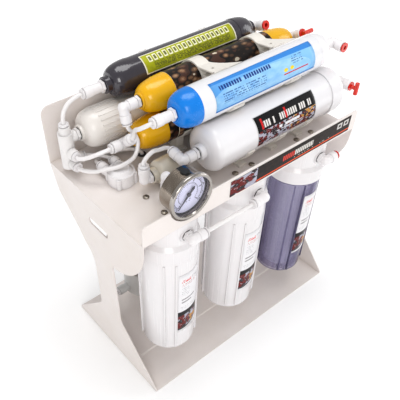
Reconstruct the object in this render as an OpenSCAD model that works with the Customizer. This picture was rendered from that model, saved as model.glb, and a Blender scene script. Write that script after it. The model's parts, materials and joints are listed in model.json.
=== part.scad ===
// Domestic reverse osmosis unit on a folded sheet-steel stand.
// Origin: middle of the stand's underside. X runs right along the front, Y to the back, Z up.

/* [Stand] */
// Width over the side panels
stand_w = 440; // [440:1:470]
// Sheet thickness of the stand
sheet = 2; // [1.5:0.1:2.5]
// Height of the shelf's top face
shelf_z = 353; // [353:1:360]
// Height of the front lip above the shelf
lip_h = 34; // [28:1:40]
// Height of the back upstand above the shelf
upstand_h = 95; // [80:1:95]

/* [Filter housings] */
// Distance between neighbouring housings
pitch = 142.5; // [130:0.5:142.5]
// Height of the bottom of a bowl
bowl_z = 55; // [50:1:60]
// Height of the seam between bowl and cap
seam_z = 281; // [280:1:282]
// Travel of a bowl while it unscrews two turns
thread_drop = 20; // [16:1:20]

/* [Pressure gauge] */
// Outer radius of the bezel
gauge_r = 36; // [36:0.1:38]
// Pointer sweep of the full scale
gauge_sweep = 270; // [180:10:270]

/* [Inline cartridges] */
// Radius of the inline cartridge shells
inline_r = 26; // [24:0.5:26]
// Radius of the ultrafiltration housing
uf_r = 36.5; // [36:0.5:38]
// Radius of the membrane housing body
membrane_r = 27; // [26:0.5:27]

/* [Tubing] */
// Outer radius of the quarter-inch tube
tube_r = 3.175; // [3:0.005:3.175]
// How far a collet is pressed to release its tube
collet_travel = 1.5; // [1:0.1:1.5]

/* [Hidden] */
$fn = 64;

// Stand outline
base_half = 121.4;
deck_front = -104;
deck_back = 135;
leg_front = -25;
leg_back = 32;
leg_z = 108;
base_step = 2.5;
step_y = -48;
panel_x = stand_w / 2 - sheet;
waist = [-5, 340, 98];

// Housings
house_y = -60;
neck_r = 44;
cap_r = 48.6;
neck_gap = 0.06;
port_z = 328;
port_y = 44;
cap_top = shelf_z - sheet;
bowl_top_r = [47.5, 47.5, 45];
bowl_foot_r = [45.5, 45.5, 43];
foot_round = [10, 10, 5];
screw_pitch = [35, 42];
screw_y = -47;
screw_x = 137.5;

// Vessels on the shelf, each [y, z] of an axis along X
uf_at = [-40, 400];
blue_at = [-19, 465];
yellow_at = [[48, 456.5], [42, 404]];
grey_at = [105, 463.4];
membrane_at = [97, 409.6];
blue_r = 27.5;

// Ends along X: [left seam, right seam]
grey_x = [-86, 130];
yellow_x = [[-60, 149], [-78, 131]];
blue_x = [-70, 178];
uf_x = [-50, 183];
membrane_x = [-131, 150];
// End caps of each kind: [length of the dome, length of the port collar]
grey_end = [34, 8];
yellow_end = [45, 2];
yellow_far_end = [52, 2];
blue_end = [27, 1];
uf_end = [13, 9];
membrane_end = [20, 5];
collar_r = 12.5;
wall = 2.5;
stub_r = 6;

// Push-in fittings
barrel_len = 22;
barrel_r = 8.5;
collet_r = 6;
hex_back = 12;
tee_back = 15;
long_back = 27;
grey_back = 22;
stub_len = 9;
tube_in = 10;

// Pressure gauge
gauge_at = [-136.5, -106, 395.5];
case_r = 33;
case_depth = 30;
stem_len = 14;
sector_teeth = 60;
pinion_teeth = 12;
gear_module = 0.4;
gear_gap = (sector_teeth + pinion_teeth) * gear_module / 2;
zero_angle = 225;
plug_z = -17;
saddle_lift = 21;

// Shut-off valve, restrictor, manifold and pump
valve_at = [-160, 27, 364];
valve_r = 21;
restrictor_at = [-14, 374.5];
pump_at = [-112, 62];
pump_z = [43, 105, 240];
pump_r = 33;

// Points on an arc of n steps about c, from angle a0 to a1
function arc(c, r, a0, a1, n) = [
    for (i = [0:n]) let (a = a0 + (a1 - a0) * i / n) c + r * [cos(a), sin(a)]
];

function unit(v) = v / norm(v);

// Puts local Z along z_dir and local X along x_dir
module place(p, z_dir, x_dir) {
    y_dir = cross(z_dir, x_dir);
    multmatrix([
        [x_dir[0], y_dir[0], z_dir[0], p[0]],
        [x_dir[1], y_dir[1], z_dir[1], p[1]],
        [x_dir[2], y_dir[2], z_dir[2], p[2]],
        [0, 0, 0, 1]
    ]) children();
}

// Turns local Z into X, on an axis at [y, z]
module along_x(at) { translate([0, at[0], at[1]]) rotate([0, 90, 0]) children(); }

// Ring with inner radius a and outer radius b
module ring(a, b, h) {
    difference() {
        cylinder(r = b, h = h);
        translate([0, 0, -1]) cylinder(r = a, h = h + 2);
    }
}

// ---------- Stand ----------

function panel_outline() = concat(
    [[deck_front, shelf_z]],
    arc([waist[0], waist[1]], waist[2], 180, 262, 14),
    [[leg_front + 5, 236], [leg_front + 1, 143]],
    [[leg_front, leg_z + 3], [leg_front - 4, leg_z - 6]],
    [[-base_half + 3, 8], [-base_half, 3], [-base_half, 0]],
    [[base_half, 0], [base_half, 5], [leg_back + 4, leg_z - 8], [leg_back, leg_z]],
    arc([76, 200], 42, 180, 118, 8),
    [[70, 256], [119, 305], [123, 316], [deck_back, shelf_z]]
);

module side_panel() {
    rotate([90, 0, 90]) linear_extrude(sheet) difference() {
        polygon(panel_outline());
        for (dy = [-10, 28]) translate([dy, 305]) circle(r = 6);
        translate([-10, 299]) square([38, 12]);
    }
}

module left_side_panel() { color("#ece7df") translate([-stand_w / 2, 0, 0]) side_panel(); }

module right_side_panel() { color("#ece7df") translate([panel_x, 0, 0]) side_panel(); }

module base_plate() {
    top = base_step + sheet;
    color("#e6e2dc") translate([-panel_x, 0, 0]) rotate([90, 0, 90]) linear_extrude(2 * panel_x) polygon([
        [-base_half, 0], [base_half, 0], [base_half, top], [step_y + base_step, top],
        [step_y, sheet], [-base_half, sheet]
    ]);
}

// Upright plate with rounded top corners, its face in XZ
module upright(y, z0, z1, corner) {
    translate([0, y + sheet, 0]) rotate([90, 0, 0]) linear_extrude(sheet) polygon(concat(
        [[-stand_w / 2, z0], [stand_w / 2, z0]],
        arc([stand_w / 2 - corner, z1 - corner], corner, 0, 90, 6),
        arc([-stand_w / 2 + corner, z1 - corner], corner, 90, 180, 6)
    ));
}

module shelf_deck() {
    color("#e4ddd3") difference() {
        union() {
            translate([-panel_x, deck_front + sheet, cap_top])
                cube([2 * panel_x, deck_back - deck_front - 2 * sheet, sheet]);
            difference() {
                upright(deck_front, cap_top, shelf_z + lip_h, 6);
                for (x = [-stand_w / 2 - 1, panel_x]) translate([x, deck_front - 1, cap_top - 1])
                    cube([sheet + 1, sheet + 2, sheet + 1]);
                translate([gauge_at[0], deck_front + 3, gauge_at[2]]) rotate([90, 0, 0])
                    cylinder(r = gauge_r + 2, h = 4);
            }
            translate([0, -sheet, 0]) upright(deck_back, shelf_z, shelf_z + upstand_h, 14);
            translate([-panel_x, deck_back - sheet, cap_top]) cube([2 * panel_x, sheet, sheet]);
        }
        for (p = screw_points()) translate([p[0], p[1], cap_top - 1]) cylinder(r = 2.6, h = 4, $fn = 24);
        translate([grommet[0], grommet[1], cap_top - 1]) cylinder(r = grommet_r, h = 4, $fn = 32);
        translate([tapping[0], tapping[1], cap_top - 1]) cylinder(r = 4.2, h = 4, $fn = 32);
    }
}

function screw_points() = [
    for (i = [-1:1], sx = [-1, 1], sy = [-1, 1])
        [i * screw_x + sx * screw_pitch[0] / 2, screw_y + sy * screw_pitch[1] / 2]
];

// Where the pump's outlet tube comes up through the shelf
grommet = [-98, 60];
grommet_r = 7;

// Where the gauge's tube goes down through the shelf into the first cap
tapping = [gauge_at[0], gauge_at[1] + case_depth + stem_len + hex_back];

module fascia_label() {
    color("#26211f") translate([-64, deck_front - 0.6, shelf_z + 2]) cube([268, 0.5, 28]);
}

// Pan-head screw, head up, with its shank reaching down
module pan_screw(r, shank) {
    difference() {
        union() {
            intersection() {
                cylinder(r = 2 * r, h = 1.4 * r, $fn = 32);
                translate([0, 0, -2.4 * r]) sphere(r = 3.5 * r, $fn = 32);
            }
            translate([0, 0, -shank]) cylinder(r = r, h = shank + 0.1, $fn = 24);
        }
        for (a = [0, 90]) rotate([0, 0, a]) translate([-r, -0.4, 0.8 * r]) cube([2 * r, 0.8, r]);
    }
}

module shelf_screws() {
    color("#6b6258") for (p = screw_points()) translate([p[0], p[1], shelf_z]) pan_screw(2.4, 8);
}

// ---------- Ten-inch filter housings ----------

module housing_cap(i) {
    x = (i - 2) * pitch;
    color("#f0eeea") difference() {
        union() {
            translate([x, house_y, 0]) {
                translate([0, 0, seam_z]) cylinder(r = cap_r, h = 24);
                translate([0, 0, seam_z + 24]) cylinder(r1 = cap_r, r2 = cap_r - 5, h = 7);
                translate([0, 0, seam_z + 31]) cylinder(r = cap_r - 5, h = cap_top - seam_z - 31);
                for (s = [-1, 1]) translate([0, 0, port_z]) rotate([s * 90, 0, 0])
                    cylinder(r = 12.5, h = port_y);
            }
            translate([(i - 2) * screw_x - 25, screw_y - 28, cap_top - 9]) cube([50, 56, 9]);
        }
        translate([x, house_y, seam_z - 1]) cylinder(r = neck_r + neck_gap, h = 23.5);
        translate([x, house_y, seam_z + 22]) cylinder(r = 38, h = 34);
        translate([x, house_y - port_y - 1, port_z]) rotate([-90, 0, 0])
            cylinder(r = stub_r + 0.1, h = 2 * port_y + 2);
        for (p = screw_points()) translate([p[0], p[1], cap_top - 8.5]) cylinder(r = 2.5, h = 9, $fn = 24);
        translate([tapping[0], tapping[1], cap_top - 6.5]) cylinder(r = tube_r + 0.05, h = 8, $fn = 32);
    }
    color("#f0eeea") translate([x, house_y, 300]) ring(9, 13.4, seam_z + 56 - 300 + 1);
}

module housing_cap_1() { housing_cap(1); }

module housing_cap_2() { housing_cap(2); }

module housing_cap_3() { housing_cap(3); }

// Wall of a bowl in section: outside from the foot up, then inside down
function bowl_section(top, foot, round) = concat(
    [[0, bowl_z]], arc([foot - round, bowl_z + round], round, -90, 0, 6),
    [[top, seam_z - 4], [top + 0.8, seam_z - 3.5], [top + 0.8, seam_z - 0.1], [neck_r, seam_z - 0.1]],
    [[neck_r, seam_z + 20], [neck_r - 3.5, seam_z + 20], [neck_r - 3.5, seam_z + 3]],
    [[foot - 4, seam_z - 4], [foot - 4, bowl_z + round], [foot - round - 1, bowl_z + 4], [0, bowl_z + 4]]
);

module bowl(i, tint) {
    top = bowl_top_r[i - 1];
    foot = bowl_foot_r[i - 1];
    round = foot_round[i - 1];
    low = bowl_z + round + 2;
    color(tint) translate([(i - 2) * pitch, house_y, 0]) {
        rotate_extrude() polygon(bowl_section(top, foot, round));
        for (q = [0:90:270], s = [-11, 11]) rotate([0, 0, 235 + q + s]) {
            translate([foot - 2, -1.25, low]) cube([top - foot + 3.3, 2.5, seam_z - 6 - low]);
            translate([foot - round - 14, -1.25, bowl_z - 4]) cube([12, 2.5, 6]);
        }
    }
}

module bowl_1() { bowl(1, "#f4f3f4"); }

module bowl_2() { bowl(2, "#f4f3f4"); }

module bowl_3() { bowl(3, "#6f6ab8"); }

// Drop-in cartridge with a core hole and two rubber-faced ends
module drop_in(i, tint, body_r) {
    foot = 66;
    tall = 238;
    color(tint) translate([(i - 2) * pitch, house_y, foot]) {
        translate([0, 0, 6]) ring(14, body_r, tall - 12);
        for (z = [0, tall - 6]) translate([0, 0, z]) ring(14, body_r + 1, 6);
    }
}

module sediment_cartridge() { drop_in(3, "#f7f7f2", 30); }

module carbon_cartridge() { drop_in(2, "#e9e9ee", 31); }

module carbon_block_cartridge() { drop_in(1, "#e9e9ee", 31); }

// ---------- Push-in fittings ----------

// Barrel along +Z from the origin, bored for a collet and a tube
module barrel_shape(root = barrel_r - 0.8) {
    cylinder(r = root, h = barrel_len - 2);
    translate([0, 0, barrel_len - 12]) cylinder(r = barrel_r, h = 11);
    translate([0, 0, barrel_len - 1]) cylinder(r1 = barrel_r, r2 = barrel_r - 0.8, h = 1);
}

// Bore for the collet, measured from its own foot
module barrel_mouth() { translate([0, 0, 0.5]) cylinder(r = collet_r + 0.05, h = 13); }

module barrel_bore(flow = 2.2) {
    translate([0, 0, barrel_len - 12.5]) barrel_mouth();
    translate([0, 0, barrel_len - 16]) cylinder(r = 3.3, h = 16);
    cylinder(r = flow, h = barrel_len);
}

// Threaded stub along -Z, with a hex above it; reach is from the port's face to the origin
module stub_shape(reach) {
    translate([0, 0, -reach + 1]) cylinder(r = 7.4, h = reach - 1);
    translate([0, 0, -reach + 1]) cylinder(r = 9.6, h = 4.5, $fn = 6);
    translate([0, 0, -reach - stub_len]) cylinder(r = stub_r, h = stub_len + 1.1);
    if (reach > 20) translate([0, 0, -reach + 6.5]) cylinder(r = 8.6, h = reach - 14);
}

module stub_bore(reach) {
    translate([0, 0, -reach - stub_len - 1]) cylinder(r = 2.5, h = reach + stub_len + 1);
}

// Stub along -Z and barrel along +X
module elbow(reach = hex_back) {
    difference() {
        union() {
            sphere(r = 8.1);
            stub_shape(reach);
            rotate([0, 90, 0]) barrel_shape();
        }
        rotate([0, 90, 0]) barrel_bore();
        stub_bore(reach);
    }
}

// Stub along -Z and barrel along +Z
module connector(reach = hex_back) {
    difference() {
        union() {
            stub_shape(reach);
            barrel_shape();
        }
        barrel_bore();
        stub_bore(reach);
    }
}

// Branch barrel along +Z whose fat end starts clear of the sleeve it grows from
module branch_shape(root) {
    cylinder(r = root, h = barrel_len - 2);
    translate([0, 0, barrel_len - 10]) cylinder(r = barrel_r, h = 9);
    translate([0, 0, barrel_len - 1]) cylinder(r1 = barrel_r, r2 = barrel_r - 0.8, h = 1);
}

// Stub along -Z, one barrel along +Z and one along +X
module tee(reach = hex_back) {
    difference() {
        union() {
            stub_shape(reach);
            barrel_shape();
            translate([0, 0, -6.8]) cylinder(r = 8.2, h = 15);
            rotate([0, 90, 0]) branch_shape(6.4);
        }
        barrel_bore();
        rotate([0, 90, 0]) translate([0, 0, barrel_len - 12.5]) barrel_mouth();
        stub_bore(reach);
    }
}

// Collet on a barrel along +Z
module collet() {
    difference() {
        union() {
            translate([0, 0, barrel_len - 9]) cylinder(r = collet_r, h = 11);
            translate([0, 0, barrel_len + collet_travel + 0.1]) cylinder(r = 7.6, h = 1.8);
        }
        translate([0, 0, barrel_len - 10]) cylinder(r = tube_r + 0.05, h = 16);
    }
}

// T-handled stop plug in a barrel along +Z; the handle lies along local X
module stop_plug() {
    translate([0, 0, barrel_len - 11.5]) cylinder(r = collet_r, h = 12.5);
    translate([0, 0, barrel_len + 0.1]) cylinder(r = 7.4, h = 2);
    translate([0, 0, barrel_len + 2]) cylinder(r = 3.4, h = 9);
    translate([0, 0, barrel_len + 12]) rotate([0, 90, 0]) cylinder(r = 3.6, h = 20, center = true);
}

// Housing ports: [position of the elbow's corner, direction away from the port, barrel direction]
port_out = port_y + hex_back;
function housing_port(i, side, turn) = [
    [(i - 2) * pitch, house_y + side * port_out, port_z], [0, side, 0], turn
];
housing_ports = [
    housing_port(1, -1, [1, 0, 0]), housing_port(2, -1, [-1, 0, 0]), housing_port(3, -1, [1, 0, 0]),
    housing_port(1, 1, [-1, 0, 0]), housing_port(2, 1, [1, 0, 0]), housing_port(3, 1, [-1, 0, 0]),
];
feed = housing_ports[2];

module housing_elbows() {
    color("#f2efec") for (p = housing_ports) place(p[0], p[1], p[2]) elbow();
}

// ---------- Vessels with axes along X ----------

// Blunt dome from radius r at z = 0, closing onto a collar at z = len
function dome(r, len) = [for (a = [0:8:80])
    [max(collar_r - 1, r * pow(cos(a), 0.42)), len * pow(sin(a), 1.1)]];

// Domed end with a port collar, its seam at z = 0 and opening towards -Z
module end_dome(r, end, lap) {
    len = end[0];
    tip = len + end[1];
    difference() {
        rotate_extrude() polygon(concat(
            [[0, -lap], [r, -lap]], dome(r, len),
            [[collar_r, len], [collar_r, tip - 0.8], [collar_r - 0.8, tip], [0, tip]]
        ));
        translate([0, 0, -lap - 1]) cylinder(r = r - wall, h = lap + 1 + len * 0.45);
        translate([0, 0, len * 0.4]) cylinder(r = 0.55 * r, h = len * 0.4);
        translate([0, 0, tip - stub_len - 0.5]) cylinder(r = stub_r + 0.1, h = stub_len + 1);
    }
}

// Domed end at a left seam or a right seam
module left_end(at, x, r, end) { along_x(at) translate([0, 0, x]) rotate([180, 0, 0]) end_dome(r, end, 3); }

module right_end(at, x, r, end) { along_x(at) translate([0, 0, x]) end_dome(r, end, 3); }

// Cylindrical shell between the seams, necked under the end caps
module shell(at, ends, r) {
    along_x(at) translate([0, 0, ends[0] + 3.1]) ring(r - wall, r, ends[1] - ends[0] - 6.2);
}

module media(at, ends, r) {
    along_x(at) translate([0, 0, ends[0] + 4]) cylinder(r = r - wall - 0.3, h = ends[1] - ends[0] - 8);
}

module grey_shell() { color("#3a3840") shell(grey_at, grey_x, inline_r); }

module grey_end_caps() {
    color("#4a4650") {
        left_end(grey_at, grey_x[0], inline_r + 0.5, grey_end);
        right_end(grey_at, grey_x[1], inline_r + 0.5, grey_end);
    }
}

module grey_media() { color("#dddddd") media(grey_at, grey_x, inline_r); }

module yellow_shells() { color("#5a3b28") for (i = [0, 1]) shell(yellow_at[i], yellow_x[i], inline_r); }

module yellow_end_caps() {
    color("#e0a400") for (i = [0, 1]) {
        left_end(yellow_at[i], yellow_x[i][0], inline_r - 0.2, yellow_end);
        right_end(yellow_at[i], yellow_x[i][1], inline_r - 0.2, yellow_far_end);
    }
}

module yellow_media() { color("#8a6a4a") for (i = [0, 1]) media(yellow_at[i], yellow_x[i], inline_r); }

module blue_shell() { color("#f2f1f3") shell(blue_at, blue_x, blue_r); }

module blue_inlet_cap() { color("#1f7fe6") left_end(blue_at, blue_x[0], blue_r, blue_end); }

module blue_outlet_cap() { color("#f2f1f3") right_end(blue_at, blue_x[1], blue_r, blue_end); }

module blue_media() { color("#b9c4cc") media(blue_at, blue_x, blue_r); }

// Housing closed by a dome at one end and necked for a screw cap at the other, along local Z
module screw_vessel(r, z0, z1, neck, end) {
    difference() {
        union() {
            translate([0, 0, z0]) cylinder(r = r, h = z1 - z0 - 0.1);
            translate([0, 0, z1 - 0.2]) cylinder(r = neck, h = 18.2);
            translate([0, 0, z0]) rotate([180, 0, 0]) rotate_extrude() polygon(concat(
                [[0, 0]], dome(r, end[0]),
                [[collar_r, end[0]], [collar_r, end[0] + end[1]], [0, end[0] + end[1]]]
            ));
        }
        translate([0, 0, z0]) cylinder(r = neck - 4, h = z1 - z0 + 30);
        translate([0, 0, z0 - end[0] - end[1] - 1]) cylinder(r = stub_r + 0.1, h = end[0] + end[1] + 2);
    }
}

// Ribbed screw cap along local Z, its mouth at z = 0
module screw_cap(r, neck, long, end, ribs) {
    difference() {
        union() {
            cylinder(r = r, h = long);
            translate([0, 0, long]) rotate_extrude() polygon(concat(
                [[0, 0]], dome(r, end[0]),
                [[collar_r, end[0]], [collar_r, end[0] + end[1]], [0, end[0] + end[1]]]
            ));
            for (i = [0:ribs - 1]) rotate([0, 0, i * 360 / ribs])
                translate([r - 2, -1, 3]) cube([2.8, 2, long - 6]);
        }
        translate([0, 0, -1]) cylinder(r = neck + neck_gap, h = 21);
        translate([0, 0, 19]) cylinder(r = neck - 6, h = long - 16);
        cylinder(r = stub_r + 0.1, h = long + end[0] + end[1] + 1);
    }
}

uf_neck = uf_r - 4;
uf_cap_long = 22;
membrane_neck = membrane_r - 1;
membrane_cap_long = 45;
membrane_cap_r = membrane_r + 2.2;
membrane_mouth = membrane_x[0] + 18;

module uf_housing() { color("#f3f2f4") along_x(uf_at) screw_vessel(uf_r, uf_x[0], uf_x[1], uf_neck, uf_end); }

module uf_cap() {
    color("#f3f2f4") along_x(uf_at) translate([0, 0, uf_x[1]])
        screw_cap(uf_r + 1.6, uf_neck, uf_cap_long, uf_end, 0);
}

// Bundle of hollow fibres, held in a potting ring at each end
module uf_fibre_bundle() {
    color("#fafafa") along_x(uf_at) {
        for (a = [0:60:300], k = [10, 20]) rotate([0, 0, a + k]) translate([k, 0, uf_x[0] + 14])
            cylinder(r = 4.2, h = uf_x[1] - uf_x[0] - 28, $fn = 20);
        for (z = [uf_x[0] + 6, uf_x[1] - 14.1]) translate([0, 0, z]) cylinder(r = uf_neck - 4.5, h = 8.1);
    }
}

module membrane_housing() {
    color("#efece8") along_x(membrane_at) rotate([0, 180, 0])
        screw_vessel(membrane_r, -membrane_x[1], -membrane_mouth, membrane_neck, membrane_end);
}

module membrane_cap() {
    color("#ece8e4") along_x(membrane_at) rotate([180, 0, 0]) translate([0, 0, -membrane_mouth])
        screw_cap(membrane_cap_r, membrane_neck, membrane_cap_long, membrane_end, 24);
}

// Spiral-wound element with its product tube
module membrane_element() {
    color("#e8e8ee") along_x(membrane_at) {
        translate([0, 0, membrane_x[0] + 14]) cylinder(r = 21.5, h = 255);
        translate([0, 0, membrane_x[0] - 2]) cylinder(r = 8.5, h = 17);
    }
}

// ---------- Clips ----------

// Open ring round a vessel, in the XZ plane of a section seen along X
module clip_ring(r, gap_dir, gap) {
    difference() {
        circle(r = r + 2.6);
        circle(r = r + 0.1);
        rotate([0, 0, gap_dir])
            polygon([[0, 0], 90 * [cos(gap), sin(gap)], [90, 0], 90 * [cos(gap), -sin(gap)]]);
    }
}

// Section drawn in [y, z], widened along X about x
module section(x, w) { translate([x - w / 2, 0, 0]) rotate([90, 0, 90]) linear_extrude(w) children(); }

module shelf_clip(at, r, x, foot_w) {
    section(x, 14) {
        translate(at) clip_ring(r, 90, 108);
        difference() {
            union() {
                translate([at[0] - foot_w / 2, shelf_z]) square([foot_w, 4]);
                translate([at[0] - 7, shelf_z]) square([14, at[1] - shelf_z - r + 2]);
            }
            translate(at) circle(r = r + 0.1);
        }
    }
}

module shelf_clips() {
    color("#f4f3f3") {
        for (x = [4, 73, 133]) shelf_clip(uf_at, uf_r, x, 44);
        for (x = [-60, 100]) shelf_clip(membrane_at, membrane_r, x, 36);
        for (x = [-40, 104]) shelf_clip(yellow_at[1], inline_r, x, 30);
    }
}

// Two open rings joined by a web that lies on one side of the line between their centres
module double_clip(a, ra, b, rb, x, w, gaps, halves, side) {
    along = b - a;
    section(x, w) difference() {
        union() {
            translate(a) clip_ring(ra, gaps[0], halves[0]);
            translate(b) clip_ring(rb, gaps[1], halves[1]);
            translate((a + b) / 2) rotate([0, 0, atan2(along[1], along[0])])
                translate([-20, side * 10 - 3]) square([40, 6]);
        }
        translate(a) circle(r = ra + 0.1);
        translate(b) circle(r = rb + 0.1);
        translate(membrane_at) circle(r = membrane_r + 0.1);
    }
}

// Clip over the upper yellow cartridge and under the blue one, with a flared saddle and a hole in it
module saddle_clip(x) {
    a = yellow_at[0];
    b = blue_at;
    across = unit([0, a[0] - b[0], a[1] - b[1]]);
    normal = cross([1, 0, 0], across);
    half = norm(a - b) / 2;
    difference() {
        union() {
            double_clip(a, inline_r, b, blue_r, x, 22, [-50, 130], [62, 80], -1);
            place([x, (a[0] + b[0]) / 2, (a[1] + b[1]) / 2], normal, [1, 0, 0]) translate([0, 0, saddle_lift])
                linear_extrude(2.2) polygon(concat(
                    [[-11, half - 4], [11, half - 4]],
                    [for (t = [0:0.125:1]) [11 + 34 * t * t, half - 8 - (2 * half - 22) * t]],
                    [[45, -half + 8], [-11, -half + 8]]
                ));
            place([x, (a[0] + b[0]) / 2, (a[1] + b[1]) / 2], normal, [1, 0, 0]) translate([-11, -half + 6, 8])
                cube([56, 2.4, saddle_lift - 6]);
        }
        along_x(a) translate([0, 0, x - 50]) cylinder(r = inline_r + 0.1, h = 100);
        along_x(b) translate([0, 0, x - 50]) cylinder(r = blue_r + 0.1, h = 100);
        translate([x, (a[0] + b[0]) / 2, 450]) cylinder(r = 2, h = 40, $fn = 24);
    }
}

module double_clips() {
    color("#efece8") {
        for (x = [2, 122]) saddle_clip(x);
        for (x = [-22, 86])
            double_clip(yellow_at[0], inline_r, yellow_at[1], inline_r, x, 14, [100, 210], [75, 62], -1);
        for (x = [-40, 80])
            double_clip(grey_at, inline_r, membrane_at, membrane_r, x, 14, [135, 180], [95, 62], 1);
    }
}

// ---------- Fittings on the shelf ----------

grey_left = grey_x[0] - grey_end[0] - grey_end[1] - hex_back;
yellow_left = yellow_x[0][0] - yellow_end[0] - yellow_end[1] - long_back;
lower_left = yellow_x[1][0] - yellow_end[0] - yellow_end[1] - tee_back;
blue_left = blue_x[0] - blue_end[0] - blue_end[1] - hex_back;
uf_left = uf_x[0] - uf_end[0] - uf_end[1] - long_back;
grey_right = grey_x[1] + grey_end[0] + grey_end[1] + hex_back;
yellow_right = yellow_x[0][1] + yellow_far_end[0] + yellow_far_end[1] + hex_back;
blue_right = blue_x[1] + blue_end[0] + blue_end[1] + long_back;
uf_right = uf_x[1] + uf_cap_long + uf_end[0] + uf_end[1] + grey_back;
membrane_left = membrane_mouth - membrane_cap_long - membrane_end[0] - membrane_end[1] - grey_back;

left_dir = [-1, 0, 0];
right_dir = [1, 0, 0];
front_dir = [0, -1, 0];
back_dir = [0, 1, 0];
up_dir = [0, 0, 1];

function on_axis(x, at) = [x, at[0], at[1]];

// Elbows on the shelf: [corner, direction away from the port, barrel direction, reach]
left_elbows = [
    [on_axis(yellow_left, yellow_at[0]), left_dir, unit([0, -0.3, -1]), long_back],
    [on_axis(uf_left, uf_at), left_dir, unit([0, 1, 0.15]), long_back],
];
right_elbows = [
    [on_axis(grey_right, grey_at), right_dir, unit([0, -1, 0.4]), hex_back],
    [on_axis(yellow_right, yellow_at[0]), right_dir, unit([0, -1, 0.6]), hex_back],
    [on_axis(blue_right, blue_at), right_dir, front_dir, long_back],
];
restrictor_elbow = [on_axis(-148, restrictor_at), left_dir, up_dir, hex_back];
gauge_elbow = [gauge_at + [0, case_depth + stem_len + hex_back, 0], back_dir, [0, 0, -1]];
uf_right_elbow = [on_axis(uf_right, uf_at), right_dir, front_dir, grey_back];
blue_connector = [on_axis(blue_left, blue_at), left_dir];
grey_connector = [on_axis(grey_left, grey_at), left_dir];
lower_tee = [on_axis(lower_left, yellow_at[1]), left_dir, unit([0, -0.75, 0.66])];

module cartridge_fittings() {
    color("#f4f2f1") {
        for (p = concat(left_elbows, right_elbows, [restrictor_elbow])) place(p[0], p[1], p[2]) elbow(p[3]);
        for (p = [blue_connector, grey_connector]) place(p[0], p[1], back_dir) connector();
        place(lower_tee[0], lower_tee[1], lower_tee[2]) tee(tee_back);
    }
    color("#c9c4ba") place(gauge_elbow[0], gauge_elbow[1], gauge_elbow[2]) elbow();
}

module uf_end_elbow() {
    color("#f4f2f1") place(uf_right_elbow[0], uf_right_elbow[1], uf_right_elbow[2]) elbow(uf_right_elbow[3]);
}

module flow_restrictor() {
    x = restrictor_elbow[0][0] + hex_back;
    color("#f1eee8") along_x(restrictor_at) difference() {
        union() {
            translate([0, 0, x]) cylinder(r = 11.5, h = 12);
            translate([0, 0, x + 8]) rotate_extrude() polygon(concat([[0, 0]], [
                for (a = [0:15:90]) [11 + 8 * sin(a), 8 - 8 * cos(a)]
            ], [[19, 34], [16, 38], [0, 38]]));
        }
        translate([0, 0, x - 1]) cylinder(r = stub_r + 0.1, h = 12);
    }
}

// Barrels of the shut-off valve: [root, direction]
valve_ports = [[valve_at + [11, 14, 0], back_dir], [valve_at + [-11, 14, 0], back_dir]];

module shutoff_valve_body() {
    color("#f2f0ee") difference() {
        union() {
            translate(valve_at - [0, 0, 10.9]) cylinder(r = valve_r, h = 19);
            translate(valve_at + [0, 0, 8]) cylinder(r1 = valve_r - 3, r2 = valve_r - 8, h = 5);
            for (a = [45:90:315]) translate(valve_at - [0, 0, 10.9]) rotate([0, 0, a])
                translate([valve_r - 1, 0, 0]) cylinder(r = 4.2, h = 17);
            for (p = valve_ports) place(p[0], p[1], [0, 0, 1]) barrel_shape();
        }
        translate(valve_at - [0, 0, 6]) cylinder(r = 13, h = 12);
        for (p = valve_ports) place(p[0], p[1], [0, 0, 1]) barrel_bore();
    }
}

// Double-acting piston that floats in the valve
module shutoff_piston() {
    color("#3c3c40") translate(valve_at - [0, 0, 5.9]) {
        cylinder(r = 12.9, h = 2);
        cylinder(r = 5, h = 10);
        translate([0, 0, 8]) cylinder(r = 12.9, h = 2);
    }
}

// Column that hangs from the membrane's port tee, with three branches: [root, direction]
column_foot = 362;
column_r = 11.5;
column_xy = [membrane_left, membrane_at[0]];
membrane_tee = concat(column_xy, [membrane_at[1]]);
column_barrels = [
    [concat(column_xy, [372]), front_dir],
    [concat(column_xy, [372]), unit([1, -0.25, 0])],
    [concat(column_xy, [391]), front_dir],
];

module tube_manifold() {
    color("#f4f2f1") difference() {
        union() {
            place(membrane_tee, left_dir, back_dir) stub_shape(grey_back);
            translate(membrane_tee) barrel_shape();
            translate(concat(column_xy, [column_foot]))
                cylinder(r = column_r, h = membrane_at[1] + 10.5 - column_foot);
            for (p = column_barrels) place(p[0], p[1], up_dir) branch_shape(p[1][0] > 0 ? 6.4 : 7.2);
        }
        for (p = concat(column_barrels, [[membrane_tee, up_dir]]))
            place(p[0], p[1], square_to(p[1])) translate([0, 0, barrel_len - 12.5]) barrel_mouth();
    }
}

// Every barrel whose collet holds a tube and stays put: [root, direction]
function elbow_barrels(list) = [for (p = list) [p[0], p[2]]];
pump_ports = [
    [[pump_at[0] - pump_r + 2, pump_at[1], pump_z[0] + 20], left_dir],
    [[pump_at[0] + pump_r - 2, pump_at[1], pump_z[0] + 20], right_dir],
];
tee_barrels = [[lower_tee[0], lower_tee[1]], [lower_tee[0], lower_tee[2]]];
shelf_held = concat(
    elbow_barrels(concat(left_elbows, [restrictor_elbow, gauge_elbow])),
    valve_ports, column_barrels, tee_barrels,
    [[membrane_tee, up_dir], blue_connector, grey_connector]
);
housing_held = concat(elbow_barrels([for (i = [0, 1, 3, 4, 5]) housing_ports[i]]), pump_ports);

// Any direction square to d
function square_to(d) = abs(d[2]) > 0.9 ? unit(cross(d, [0, 1, 0])) : unit(cross(d, [0, 0, 1]));

module shelf_collets() {
    color("#fbfafa") for (p = shelf_held) place(p[0], p[1], square_to(p[1])) collet();
}

module housing_collets() {
    color("#fbfafa") for (p = housing_held) place(p[0], p[1], square_to(p[1])) collet();
}

module free_collet(p, tint) { color(tint) place(p[0], p[2], square_to(p[2])) collet(); }

module feed_collet() { free_collet(feed, "#e02a20"); }

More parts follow.
